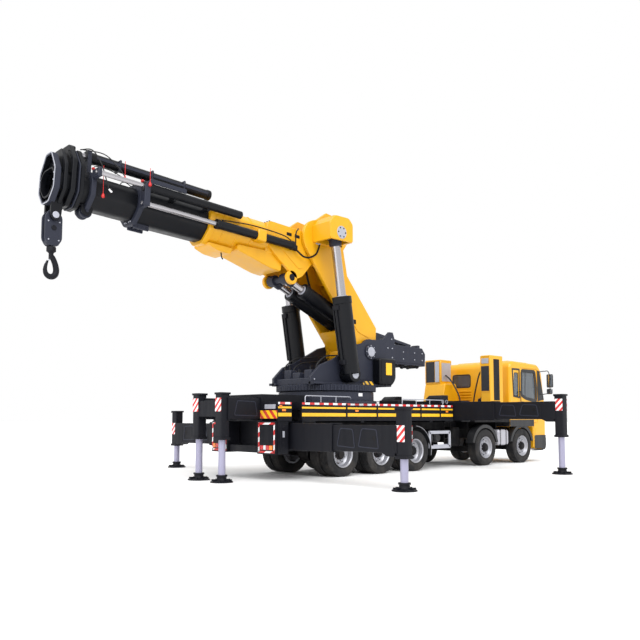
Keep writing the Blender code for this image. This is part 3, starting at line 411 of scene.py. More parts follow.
FINISH = {
    "yellow": coated("crane_yellow_paint", tint(226, 164, 4), 0.40, coat=0.10, mottle=0.05, dust=0.0,
                     grain=0.05),
    "cab_yellow": coated("cab_yellow_paint", tint(228, 166, 6), 0.36, coat=0.15, mottle=0.04, dust=0.12,
                         grain=0.03, reach=1.4),
    "dark": coated("blue_grey_paint", tint(17, 18, 25), 0.55, mottle=0.06, dust=0.0, grain=0.02,
                   shine=0.22),
    "slate": coated("slate_paint", tint(40, 43, 56), 0.50, mottle=0.06, dust=0.0, grain=0.02,
                    shine=0.3),
    "black": coated("black_gloss_paint", tint(9, 11, 17), 0.42, mottle=0.05, dust=0.0, grain=0.02,
                    shine=0.25),
    "frame": coated("frame_black_paint", tint(12, 12, 17), 0.60, mottle=0.10, dust=0.08, shine=0.2),
    "rubber": coated("tyre_rubber", tint(19, 19, 22), 0.85, mottle=0.12, dust=0.14, grain=0.35,
                     grain_scale=55.0, reach=1.1),
    "rim": coated("rim_silver", tint(168, 169, 176), 0.38, metal=0.55, mottle=0.06, dust=0.18),
    "chrome": coated("hard_chrome", tint(176, 174, 178), 0.18, metal=0.9, mottle=0.03, dust=0.0,
                     grain=0.02, grain_scale=240.0),
    "leg": coated("leg_steel", tint(158, 156, 180), 0.30, metal=0.35, mottle=0.04, dust=0.0,
                  grain=0.04, grain_scale=160.0),
    "silver": coated("silver_paint", tint(176, 178, 188), 0.42, metal=0.3, mottle=0.06, dust=0.10),
    "tank": coated("tank_grey_paint", tint(176, 176, 184), 0.40, metal=0.25, mottle=0.06, dust=0.15),
    "hose": coated("hose_rubber", tint(24, 24, 27), 0.6, mottle=0.1, dust=0.0, grain=0.2,
                   grain_scale=200.0),
    "trim": coated("black_trim", tint(30, 31, 34), 0.5, mottle=0.08, dust=0.0, grain=0.25,
                   grain_scale=180.0),
    "white": coated("white_enamel", tint(232, 232, 234), 0.4, mottle=0.04, dust=0.0),
    "marking": coated("yellow_marking", tint(245, 188, 30), 0.4, mottle=0.05, dust=0.06),
    "red": coated("red_enamel", tint(196, 30, 28), 0.35, mottle=0.06, dust=0.0),
    "tape": striped("edge_tape", tint(206, 34, 36), tint(238, 238, 240), 0.30, (1, 0, 0)),
    "tape_up": striped("upright_tape", tint(206, 34, 36), tint(238, 238, 240), 0.22, (0, 0.5, 1)),
    "warning": striped("warning_stripes", tint(206, 34, 36), tint(240, 240, 242), 0.11,
                       (0.7, 0.7, 0.7)),
    "hazard": striped("hazard_stripes", tint(250, 190, 30), tint(200, 50, 34), 0.16,
                      (0, 0.7, -0.7)),
    "hazard_dark": striped("dark_hazard_stripes", tint(246, 190, 30), tint(26, 27, 30), 0.12,
                           (0.7, 0, 0.7)),
    "plate": tread_plate("tread_plate", tint(62, 64, 70)),
    "cloth": woven("seat_cloth", tint(48, 50, 56)),
    "cooler": meshed("cooler_face", tint(40, 41, 46)),
    "glass": glassy("window_glass", tint(120, 130, 138), 0.75),
    "mirror": coated("mirror_glass", tint(200, 204, 210), 0.08, metal=1.0, mottle=0.02, dust=0.0,
                     grain=0.01),
    "lens_red": glassy("red_lens", tint(205, 24, 22), 0.15, 0.12),
    "lens_amber": glassy("amber_lens", tint(255, 140, 24), 0.12, 0.12),
    "lens_clear": glassy("clear_lens", tint(232, 234, 236), 0.2, 0.08),
}


# ------------------------------------------------------------------ pieces
def piece(name, body, groups, replaces=(), cuts=(), crisp=34.0):
    """Shapes of each finish in one mesh, less the cuts, riding on a CAD body."""
    mesh = bpy.data.meshes.new(name)
    points, faces, kinds, start = [], [], [], 0
    for number, (finish, shapes) in enumerate(groups.items()):
        mesh.materials.append(FINISH[finish])
        for spots, quads in shapes:
            points.append(spots)
            faces += [[i + start for i in face] for face in quads]
            kinds += [number] * len(quads)
            start += len(spots)
    mesh.from_pydata(np.concatenate(points).tolist(), [], faces)
    mesh.polygons.foreach_set("material_index", kinds)
    thing = bpy.data.objects.new(name, mesh)
    bpy.context.scene.collection.objects.link(thing)
    outwards(mesh)
    if cuts:
        carve(thing, cuts)
    thing.data.shade_smooth()
    thing.data.set_sharp_from_angle(angle=math.radians(crisp))
    first = next(iter(groups))
    if replaces:
        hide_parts(*replaces)
    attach(thing, body)
    return thing


def outwards(mesh):
    """Turns every closed shape of the mesh to face out."""
    shape = bmesh.new()
    shape.from_mesh(mesh)
    bmesh.ops.recalc_face_normals(shape, faces=shape.faces)
    shape.to_mesh(mesh)
    shape.free()


def carve(thing, cuts):
    """Takes the cut shapes out of the piece and keeps the result as its mesh."""
    tools = []
    for spots, quads in cuts:
        mesh = bpy.data.meshes.new("cut")
        mesh.from_pydata(spots.tolist(), [], quads)
        outwards(mesh)
        tool = bpy.data.objects.new("cut", mesh)
        bpy.context.scene.collection.objects.link(tool)
        step = thing.modifiers.new("cut", "BOOLEAN")
        step.operation, step.solver, step.object = "DIFFERENCE", "EXACT", tool
        step.use_self = True
        tools.append(tool)
    graph = bpy.context.evaluated_depsgraph_get()
    whole = bpy.data.meshes.new_from_object(thing.evaluated_get(graph))
    thing.modifiers.clear()
    thing.data = whole
    for tool in tools:
        bpy.data.objects.remove(tool)


def coat_node(node, finish):
    """A CAD node that shows as it is, in a better finish."""
    thing = frame["nodes"][node]
    thing.data.materials.clear()
    thing.data.materials.append(FINISH[finish])


# ------------------------------------------------------------------ floor, light and camera
def studio():
    floor = bpy.data.meshes.new("floor")
    reach = 220.0
    floor.from_pydata([(-reach, -reach, 0), (reach, -reach, 0), (reach, reach, 0), (-reach, reach, 0)],
                      [], [(0, 1, 2, 3)])
    ground = bpy.data.objects.new("floor", floor)
    bpy.context.scene.collection.objects.link(ground)
    n = Nodes("pale_floor")
    n.set(Base_Color=n.mix(n.noise(0.4), tint(244, 244, 244), tint(250, 250, 250)), Roughness=0.85,
          Specular_IOR_Level=0.1)
    floor.materials.append(n.material)
    world = bpy.data.worlds.new("studio")
    world.use_nodes = True
    back = world.node_tree.nodes["Background"]
    back.inputs["Color"].default_value = (1.0, 1.0, 1.0, 1.0)
    back.inputs["Strength"].default_value = 1.0
    bpy.context.scene.world = world
    for name, energy, angle, way in (("key", 1.9, 40, (0.35, 0.62, -0.80)),
                                     ("fill", 0.7, 60, (0.9, 0.1, -0.45))):
        light = bpy.data.lights.new(name, "SUN")
        light.energy, light.angle = energy, math.radians(angle)
        lamp = bpy.data.objects.new(name, light)
        lamp.rotation_euler = Vector(way).to_track_quat("-Z", "Y").to_euler()
        bpy.context.scene.collection.objects.link(lamp)
    bpy.context.scene.view_settings.view_transform = "Standard"


def camera():
    lens = bpy.data.cameras.new("camera")
    lens.lens, lens.sensor_width, lens.shift_y = 39.94, 36.0, 0.066
    eye = bpy.data.objects.new("camera", lens)
    rise = math.radians(4.5)
    look = Vector((0.683 * math.cos(rise), 0.730 * math.cos(rise), math.sin(rise)))
    eye.location = (X0 - 12.2, -13.45, 1.41)
    eye.rotation_euler = look.to_track_quat("-Z", "Y").to_euler()
    bpy.context.scene.collection.objects.link(eye)
    bpy.context.scene.camera = eye


studio()
camera()


# ------------------------------------------------------------------ crane
def joint_at(name):
    """Where a joint's axis is in side view, from the rearmost axle."""
    place = JOINTS[name]["pos_m"]
    return np.array([place[0] - X0, place[2]])


def on_axis(foot, joint, distance):
    axis = JOINTS[joint]["axis"]
    return foot + distance * np.array([axis[0], axis[2]])


BOOM_FOOT, KNUCKLE = joint_at("luff"), joint_at("knuckle")
LUFF_FOOT, ARTIC_FOOT = joint_at("luffing_cylinder_tilt"), joint_at("articulation_cylinder_tilt")
LUFF_REACH, ARTIC_REACH = 3.528, 2.281      # foot pin to rod eye
LUFF_HEAD = on_axis(LUFF_FOOT, "luffing_cylinder_stroke", LUFF_REACH)
ARTIC_EYE = on_axis(ARTIC_FOOT, "articulation_cylinder_stroke", ARTIC_REACH)
SLEW = joint_at("slew")
RING_TOP = 2.24
LUFF_Y, ARTIC_Y = 0.98, 0.24
HOUSING = (0.47, 0.14, -0.72)               # half width, top and bottom of the boom housing
SECTION_1, SECTION_2, SECTION_3 = (0.420, 0.090, -0.670), (0.375, 0.045, -0.625), (0.330, 0.0, -0.580)
TIP_0, TIP_1, TIP_2 = 3.15, 4.87, 5.90
SIDE_Y, SIDE_W, UPPER_Y, UPPER_W, TOP_W = 0.58, -0.35, 0.60, 0.0, 0.47
LIFT = np.array(JOINTS["hook_block_swing"]["pos_m"], float) - PIN
HOOK_U, HOOK_W = float(LIFT @ ALONG), float(LIFT @ SQUARE)
TIP_3, HEAD_LOW = HOOK_U + 0.16, -0.70


def soften(outline, radius, steps=4):
    """Each corner becomes a short curve: (1-t)^2 before + 2t(1-t) corner + t^2 after."""
    p = np.asarray(outline, float)
    ends = []
    for shift in (1, -1):
        way = np.roll(p, shift, 0) - p
        length = np.linalg.norm(way, axis=1, keepdims=True)
        ends.append(p + way * np.minimum(radius / length, 0.45))
    t = np.linspace(0, 1, steps + 1)[None, :, None]
    bend = (1 - t) ** 2 * ends[0][:, None] + 2 * t * (1 - t) * p[:, None] + t ** 2 * ends[1][:, None]
    return bend.reshape(-1, 2)


def section_outline(size, grow=0.0):
    """Eight-sided tube section with bent shoulders and a keel narrower than its sides."""
    half, top, bottom = size[0] + grow, size[1] + grow, size[2] - grow
    shoulder, knee = top - 0.38 * half, bottom + 0.62 * half
    right = [(0.60 * half, top), (half, shoulder), (half, knee), (0.38 * half, bottom)]
    return soften(right + [(-y, w) for y, w in right[::-1]], 0.07)


def boom_tube(size, stations, wall=0.0, depth=1.4):
    """Rings of the section at (u, grow) stations; with a wall, the open end goes in by depth."""
    stations = list(stations)
    if wall:
        tip = stations[-1][0]
        stations += [(tip, -wall), (tip - depth, -wall)]
    rings = [boom_front(*section_outline(size, grow).T, u) for u, grow in stations]
    return skin(np.stack(rings))


def collar(size, u0, u1, grow, bevel=0.010):
    return boom_tube(size, [(u0, grow - bevel), (u0 + bevel, grow), (u1 - bevel, grow),
                            (u1, grow - bevel)])


def boom_bar(y, w, u0, u1, radius, bevel=0.006, sides=32):
    return drum(radius, u0, u1, (y, w), boom_front, bevel, sides)


def outer_boom():
    half, top, _ = HOUSING
    paint = [boom_tube(HOUSING, [(0.62, -0.01), (0.63, 0), (TIP_0 - 0.002, 0)], 0.030, 1.9),
             collar(HOUSING, TIP_0 - 0.13, TIP_0, 0.028)]
    paint += [collar(HOUSING, u, u + 0.035, 0.010, 0.004) for u in (1.95, 2.35, 2.74)]
    cheek = [(-0.25, 0.12), (1.5, 0.14), (1.60, -0.30), (1.31, -0.60), (0.55, -1.12), (0.36, -1.02),
             (-0.12, -0.42)]
    eye = (0.694, -1.098)
    dark, pins, black = [], [], []
    for s in (-1, 1):
        outer = s * (half + 0.012)
        paint += [prism(soften(cheek, 0.10), s * (half - 0.07), outer, 0.008, boom_side),
                  prism(soften([(0.30, 0.02), (1.30, 0.03), (1.36, -0.26), (0.50, -0.86), (0.30, -0.78)],
                               0.08), outer, s * (half + 0.026), 0.005, boom_side),
                  drum(0.42, s * (half - 0.07), outer, (0, 0), boom_side, 0.01, 56),
                  drum(0.27, outer, s * (half + 0.020), (0, 0), boom_side, 0.006, 48),
                  drum(0.17, s * (half - 0.07), outer, eye, boom_side, 0.008),
                  boom_block((1.70, 1.94), (s * (half - 0.03), s * (SIDE_Y + 0.125)),
                             (SIDE_W - 0.135, SIDE_W + 0.135), 0.02)]
        pins += [drum(0.15, outer, s * (half + 0.028), (0, 0), boom_side, 0.006),
                 ]
        dark += [drum(0.085, outer, s * (half + 0.020), eye, boom_side, 0.006),
                 boom_block((0.62, 0.80), (s * (half + 0.026), s * (half + 0.10)), (-0.44, -0.30), 0.015)]
        black += [boom_pipe([(0.72, s * (half + 0.10), -0.40), (0.40, s * (half + 0.14), -0.56),
                             (0.05, s * (half + 0.14), -0.40), (-0.10, s * (half + 0.12), 0.00),
                             (-0.16, s * (half + 0.06), 0.22)], 0.022),
                  boom_pipe([(0.70, s * (half + 0.10), -0.32), (0.72, s * (half + 0.12), -0.02),
                             (0.60, s * (half + 0.06), 0.13)], 0.016)]
        dark += bolts(on_circle((0, 0), 0.215, 10), 0.020, s * (half + 0.020), s * (half + 0.034),
                      boom_side)
        dark += [prism(rounded((u, u + 0.16), (-0.10, -0.02), 0.01), s * (half + 0.026),
                       s * (half + 0.029), 0.001, boom_side) for u in (0.52, 0.78)]
        black += [boom_bar(s * SIDE_Y, SIDE_W, 0.80, 3.05, 0.10, 0.012),
                  boom_bar(s * SIDE_Y, SIDE_W, 2.97, 3.06, 0.112, 0.008),
                  boom_bar(s * SIDE_Y, SIDE_W, 0.78, 0.86, 0.112, 0.008)]
        black += [boom_pipe([(0.90, s * (SIDE_Y + 0.05), SIDE_W + 0.10), (1.2, s * (SIDE_Y + 0.06), -0.18),
                             (2.0, s * (half + 0.05), -0.12), (2.9, s * (SIDE_Y), SIDE_W + 0.12)], 0.014)]
    paint += [prism(soften([(0.98, -1.00), (1.30, -0.98), (2.30, -0.74), (2.30, -0.60), (0.95, -0.55)], 0.06),
                    -0.40, 0.40, 0.02, boom_side),
              prism(soften([(2.34, -0.70), (2.42, -0.86), (2.78, -0.84), (3.02, -0.76), (3.04, -0.70)],
                           0.04), -0.30, 0.30, 0.015, boom_side),
              boom_block((0.10, 1.50), (-half + 0.05, half - 0.05), (-0.62, 0.12), 0.02),
              drum(0.26, -0.499, 0.499, (0, 0), boom_side, 0.01, 48)]
    dark += [boom_block((0.95, 1.22), (-0.16, 0.16), (top - 0.02, top + 0.10), 0.015),
             boom_block((1.04, 1.12), (-0.10, 0.10), (top + 0.09, top + 0.13), 0.01)]
    dark += [drum(0.022, top - 0.01, top + 0.15, (u, y), boom_plan, 0.004, 14)
             for u in (1.0, 1.17) for y in (-0.09, 0.0, 0.09)]
    dark += [boom_pipe([(2.62, -0.20, -0.84), (2.60, -0.20, -0.94), (2.56, -0.20, -0.99)], 0.014)]
    piece("outer_boom_housing", "outer_boom",
          {"yellow": paint, "black": black, "dark": dark, "silver": pins}, ["outer_boom"])


def telescope_1():
    half = SECTION_1[0]
    black = [boom_tube(SECTION_1, [(2.40, -0.01), (2.41, 0), (TIP_1 - 0.002, 0)], 0.025)]
    edge = [collar(SECTION_1, TIP_1 - 0.10, TIP_1, 0.055)]
    bright, red, brass = [], [], []
    for s in (-1, 1):
        edge += [prism(soften([(s * (half - 0.01), SIDE_W - 0.09), (s * 0.68, SIDE_W - 0.08),
                               (s * 0.70, UPPER_W + 0.06), (s * 0.62, UPPER_W + 0.11),
                               (s * (half - 0.01), UPPER_W + 0.11)], 0.03),
                       TIP_1 - 0.088, TIP_1 - 0.006, 0.008, boom_front)]
        bright += [boom_bar(s * SIDE_Y, SIDE_W, 2.40, TIP_1 - 0.02, 0.055, 0.01),
                   boom_bar(s * SIDE_Y, SIDE_W, TIP_1 - 0.02, TIP_1 + 0.03, 0.035, 0.006, 6)]
        black += [boom_bar(s * UPPER_Y, UPPER_W, 2.40, TIP_1 - 0.01, 0.09, 0.012),
                  boom_bar(s * UPPER_Y, UPPER_W, TIP_1 - 0.20, TIP_1 + 0.015, 0.098, 0.006)]
        black += [boom_block((u, u + 0.07), (s * (half - 0.02), s * 0.62), (-0.13, -0.02), 0.01)
                  for u in (3.25, 4.10)]
        red += [drum(0.034, TIP_1 - 0.09, TIP_1 - 0.03, (s * 0.40, 0.17), boom_front, 0.018, 20)]
        brass += bolts([(s * y, SECTION_1[2] + 0.02) for y in (0.06, 0.12)], 0.016,
                       TIP_1 - 0.004, TIP_1 + 0.016, boom_front)
    edge += [boom_block((TIP_1 - 0.42, TIP_1 - 0.06), (s * 0.10, s * 0.15),
                        (SECTION_1[2] - 0.10, SECTION_1[2] + 0.02), 0.012) for s in (-1, 1)]
    edge += bolts([(u, SECTION_1[2] - 0.05) for u in (TIP_1 - 0.36, TIP_1 - 0.26, TIP_1 - 0.16)],
                  0.018, -0.165, 0.165, boom_side)
    edge += [prism([(TIP_1 + 0.02, -0.42), (TIP_1 + 0.02, 0.02), (TIP_1 - 0.10, 0.16),
                    (TIP_1 - 0.95, 0.16), (TIP_1 - 0.95, 0.07), (TIP_1 - 0.17, 0.07),
                    (TIP_1 - 0.10, 0.00), (TIP_1 - 0.11, -0.42)], s * 0.665, s * 0.705, 0.008, boom_side)
             for s in (-1, 1)]
    red += tag(TIP_1 - 0.05, -0.72, 0.36, 0.28)
    hoses = [boom_pipe([(TIP_1 - 0.1, 0.30, 0.10), (TIP_1 + 0.06, 0.33, 0.24), (TIP_1 - 0.06, 0.36, 0.33),
                        (TIP_1 - 0.3, 0.34, 0.22), (TIP_1 - 0.5, 0.30, 0.10)], 0.010)]
    piece("telescope_1", "boom_section_1", {"black": black, "slate": edge, "chrome": bright,
                                           "red": red, "silver": brass, "hose": hoses},
          ["boom_section_1"])


def telescope_2():
    half, top, _ = SECTION_2
    black = [boom_tube(SECTION_2, [(3.25, -0.01), (3.26, 0), (TIP_2 - 0.002, 0)], 0.025)]
    edge = [collar(SECTION_2, TIP_2 - 0.10, TIP_2, 0.055)]
    bright, red = [], []
    for s in (-1, 1):
        edge += [boom_block((TIP_2 - 0.088, TIP_2 - 0.006), (s * (half - 0.01), s * 0.67),
                            (UPPER_W - 0.10, UPPER_W + 0.10), 0.02)]
        bright += [boom_bar(s * UPPER_Y, UPPER_W, 3.40, TIP_2 - 0.02, 0.050, 0.01),
                   boom_bar(s * UPPER_Y, UPPER_W, TIP_2 - 0.02, TIP_2 + 0.03, 0.032, 0.006, 6)]
        red += [drum(0.032, TIP_2 - 0.09, TIP_2 - 0.03, (s * 0.30, 0.15), boom_front, 0.016, 20)]
    edge += [prism(soften([(-0.15, top - 0.01), (0.15, top - 0.01), (0.13, TOP_W + 0.12),
                           (-0.13, TOP_W + 0.12)], 0.03), TIP_2 - 0.088, TIP_2 - 0.006, 0.008,
                   boom_front)]
    black += [boom_bar(0, TOP_W, 2.92, TIP_2 - 0.02, 0.11, 0.014),
              boom_bar(0, TOP_W, 2.90, 2.99, 0.120, 0.008),
              boom_bar(0, TOP_W, TIP_2 - 0.22, TIP_2, 0.12, 0.008)]
    guides = [boom_block((3.0, TIP_2 - 0.20), (s * 0.105, s * 0.125), (TOP_W - 0.03, TOP_W + 0.03), 0.006)
              for s in (-1, 1)]
    guides += [boom_block((u, u + 0.05), (-0.13, 0.13), (TOP_W - 0.125, TOP_W + 0.125), 0.02)
               for u in (3.6, 4.4, 5.15)]
    hoses = [boom_pipe([(TIP_2 - 0.12, 0.22, 0.06), (TIP_2 - 0.02, 0.24, 0.30), (TIP_2 - 0.30, 0.20, 0.44),
                        (TIP_2 - 0.6, 0.16, 0.42), (TIP_2 - 1.2, 0.15, 0.44), (3.1, 0.14, 0.50)], 0.009),
             boom_pipe([(TIP_2 - 0.2, -0.22, 0.06), (TIP_2 - 0.1, -0.26, 0.22), (TIP_2 - 0.5, -0.24, 0.24),
                        (TIP_2 - 1.0, -0.22, 0.10)], 0.009)]
    piece("telescope_2", "boom_section_2", {"black": black, "slate": edge + guides, "chrome": bright,
                                           "red": red, "hose": hoses},
          ["boom_section_2"])


def boom_head():
    """The last section: stacked flanges, a mouth with a bright rim, top box and hook lugs."""
    bottom = SECTION_3[2]
    black = [boom_tube(SECTION_3, [(3.45, -0.01), (3.46, 0), (TIP_3 - 0.012, 0), (TIP_3, -0.010)],
                       0.030, 1.6)]
    edge = []
    black += [boom_block((6.15, 6.28), (-0.13, 0.13), (0.30, TOP_W + 0.10), 0.02)]
    bright = [boom_bar(0, TOP_W, 3.20, 6.22, 0.060, 0.01)]
    silver = []
    for s in (-1, 1):
        black += [prism(soften([(HOOK_U - 0.13, bottom + 0.02), (HOOK_U + 0.11, bottom + 0.02),
                                (HOOK_U + 0.10, HOOK_W - 0.04), (HOOK_U + 0.03, HOOK_W - 0.11),
                                (HOOK_U - 0.06, HOOK_W - 0.10), (HOOK_U - 0.11, HOOK_W)], 0.04),
                        s * 0.11, s * 0.17, 0.008, boom_side),
                  prism(soften([(5.70, bottom + 0.02), (5.98, bottom + 0.02), (5.95, bottom - 0.15),
                                (5.84, bottom - 0.20), (5.74, bottom - 0.14)], 0.04),
                        s * 0.12, s * 0.16, 0.008, boom_side)]
        silver += [drum(0.065, s * 0.17, s * 0.19, (HOOK_U, HOOK_W), boom_side, 0.005, 28)]
    black += [drum(0.04, -0.18, 0.18, (HOOK_U, HOOK_W), boom_side, 0.004, 28)]
    wheel = [(0.03, -0.10), (0.13, -0.10), (0.13, -0.07), (0.10, -0.03), (0.10, 0.03), (0.13, 0.07),
             (0.13, 0.10), (0.03, 0.10)]
    edge += [turned(wheel, (5.84, bottom - 0.10), boom_side, 40, True),
             drum(0.03, -0.18, 0.18, (5.84, bottom - 0.10), boom_side, 0.004, 20)]
    red = tag(5.72, -0.50, 0.20, 0.55) + tag(5.28, -0.52, 0.42, 0.30)
    loops = [[(6.05, -0.10, 0.54), (5.92, -0.36, 0.50), (5.78, -0.50, 0.24), (5.66, -0.52, -0.06),
              (5.58, -0.50, -0.24)],
             [(6.02, -0.08, 0.56), (5.66, -0.34, 0.50), (5.42, -0.48, 0.28), (5.26, -0.52, 0.10)]]
    hoses = [boom_pipe(line, 0.011) for line in loops]
    white = [boom_pipe([line[-1], (line[-1][0] - 0.07, line[-1][1], line[-1][2] - 0.05)], 0.020)
             for line in loops]
    hoses += [boom_pipe([(6.18, 0.10, 0.36), (6.30, 0.20, 0.50), (6.20, 0.26, 0.36), (6.08, 0.28, 0.18)],
                       0.008),
             boom_pipe([(6.18, -0.10, 0.40), (6.36, -0.22, 0.40), (6.28, -0.30, 0.20),
                        (6.12, -0.34, 0.04)], 0.008)]
    piece("boom_head", "boom_section_3", {"black": black, "slate": edge, "silver": silver,
                                         "chrome": bright, "red": red, "white": white, "hose": hoses},
          ["boom_section_3"])
    head_flanges()


def head_outline(wide, high):
    """Tall eight-sided plate: narrow top, straight sides, narrow foot."""
    half = [(0.36 * wide, high), (wide, high - 0.36), (wide, HEAD_LOW + 0.26), (0.42 * wide, HEAD_LOW)]
    return soften(half + [(-y, w) for y, w in half[::-1]], 0.05)


def head_flanges():
    """Stacked flange plates round the last section, and the tall mouth with a thin bright rim."""
    back = TIP_3 - 0.60
    black = [prism(head_outline(wide, high), back + a, back + b, 0.012, boom_front)
             for a, b, wide, high in ((0.02, 0.11, 0.41, 0.50), (0.20, 0.29, 0.43, 0.56),
                                      (0.36, 0.43, 0.41, 0.44))]
    mouth = head_outline(0.37, 0.32)
    slate = [prism(mouth, TIP_3 - 0.12, TIP_3, 0.010, boom_front)]
    slate += [prism(head_outline(0.425, 0.47), back + 0.12, back + 0.15, 0.006, boom_front)]
    cuts = [prism(section_outline(SECTION_3, -0.030), 5.0, 7.0, 0.0, boom_front),
            prism(inset(mouth, 0.05), TIP_3 - 0.10, TIP_3 + 0.2, 0.0, boom_front)]
    piece("head_flange_plates", "boom_section_3", {"black": black, "slate": slate},
          cuts=cuts)
    rim = [ring_frame(mouth, 0.020, TIP_3 + 0.0005, TIP_3 + 0.010, boom_front)]
    bolt_y, bolt_w = (0.335, 0.335, 0.335), (-0.02, -0.16, -0.30)
    rim += bolts([(s * y, w) for s in (-1, 1) for y, w in zip(bolt_y, bolt_w)], 0.014,
                 TIP_3 + 0.001, TIP_3 + 0.018, boom_front)
    piece("head_mouth_rim", "boom_section_3", {"silver": rim})


def tag(u, y, w, length):
    """A red drop on a thin cord that hangs straight down from (u, y, w)."""
    fall = np.array([-ALONG[2], 0.0, -SQUARE[2]])
    top = np.array([u, y, w])
    low = top + length * fall
    drop = [tuple(low + d * fall) for d in (0.0, 0.04, 0.08, 0.10)]
    return [boom_pipe([tuple(top), tuple(low)], 0.006, 8, 1),
            boom_pipe(drop, [0.008, 0.028, 0.036, 0.022], 14)]


def hook_and_block():
    x, z = joint_at("hook_block_swing")
    cheek = soften([(x - 0.17, z - 0.02), (x - 0.09, z + 0.11), (x + 0.09, z + 0.11), (x + 0.17, z - 0.02),
                    (x + 0.17, z - 0.46), (x + 0.09, z - 0.59), (x - 0.09, z - 0.59),
                    (x - 0.17, z - 0.46)], 0.05)
    dark = [prism(cheek, s * 0.055, s * 0.098, 0.008) for s in (-1, 1)]
    dark += [prism(soften([(x - 0.14, z - 0.40), (x + 0.14, z - 0.40), (x + 0.12, z - 0.575),
                           (x - 0.12, z - 0.575)], 0.03), -0.06, 0.06, 0.004),
             drum(0.045, -0.06, 0.06, (x, z), sides=24)]
    wheel = [(0.03, -0.045), (0.15, -0.045), (0.15, -0.03), (0.12, -0.01), (0.12, 0.01), (0.15, 0.03),
             (0.15, 0.045), (0.03, 0.045)]
    grey = [turned(wheel, (x, z - 0.24), side, 48, True)]
    grey += [drum(0.05, s * 0.098, s * 0.118, (x, z - 0.24), sides=24) for s in (-1, 1)]
    bolt = [spot for s in (-1, 1) for spot in bolts([(x - 0.11, z - 0.12), (x + 0.11, z - 0.12),
                                                    (x - 0.10, z - 0.48), (x + 0.10, z - 0.48)], 0.016,
                                                   s * 0.098, s * 0.112)]
    piece("hook_block_cheeks", "hook_block", {"slate": dark, "dark": grey, "silver": bolt},
          ["hook_block"])
    top = z - 0.60
    ring = [(0.085, top - 0.005), (0.09, top - 0.02), (0.09, top - 0.09), (0.06, top - 0.11),
            (0.045, top - 0.13), (0.045, top - 0.24)]
    shank = turned(ring, (x, 0), plan, 32)
    angle = np.radians(np.linspace(92, -212, 12))
    path = np.stack([x + 0.100 * np.cos(angle) * (1.0 - 0.45 * np.sin(angle)), 0 * angle,
                     top - 0.385 + 0.200 * np.sin(angle)], -1)
    sizes = [0.050, 0.052, 0.054, 0.056, 0.058, 0.060, 0.058, 0.054, 0.048, 0.040, 0.032, 0.020]
    latch = pipe([(x - 0.02, 0, top - 0.245), (x - 0.08, 0, top - 0.30), (x - 0.118, 0, top - 0.345)],
                 0.010, 10)
    piece("lifting_hook", "hook", {"dark": [shank, pipe(path, sizes, 20)], "silver": [latch]}, ["hook"])


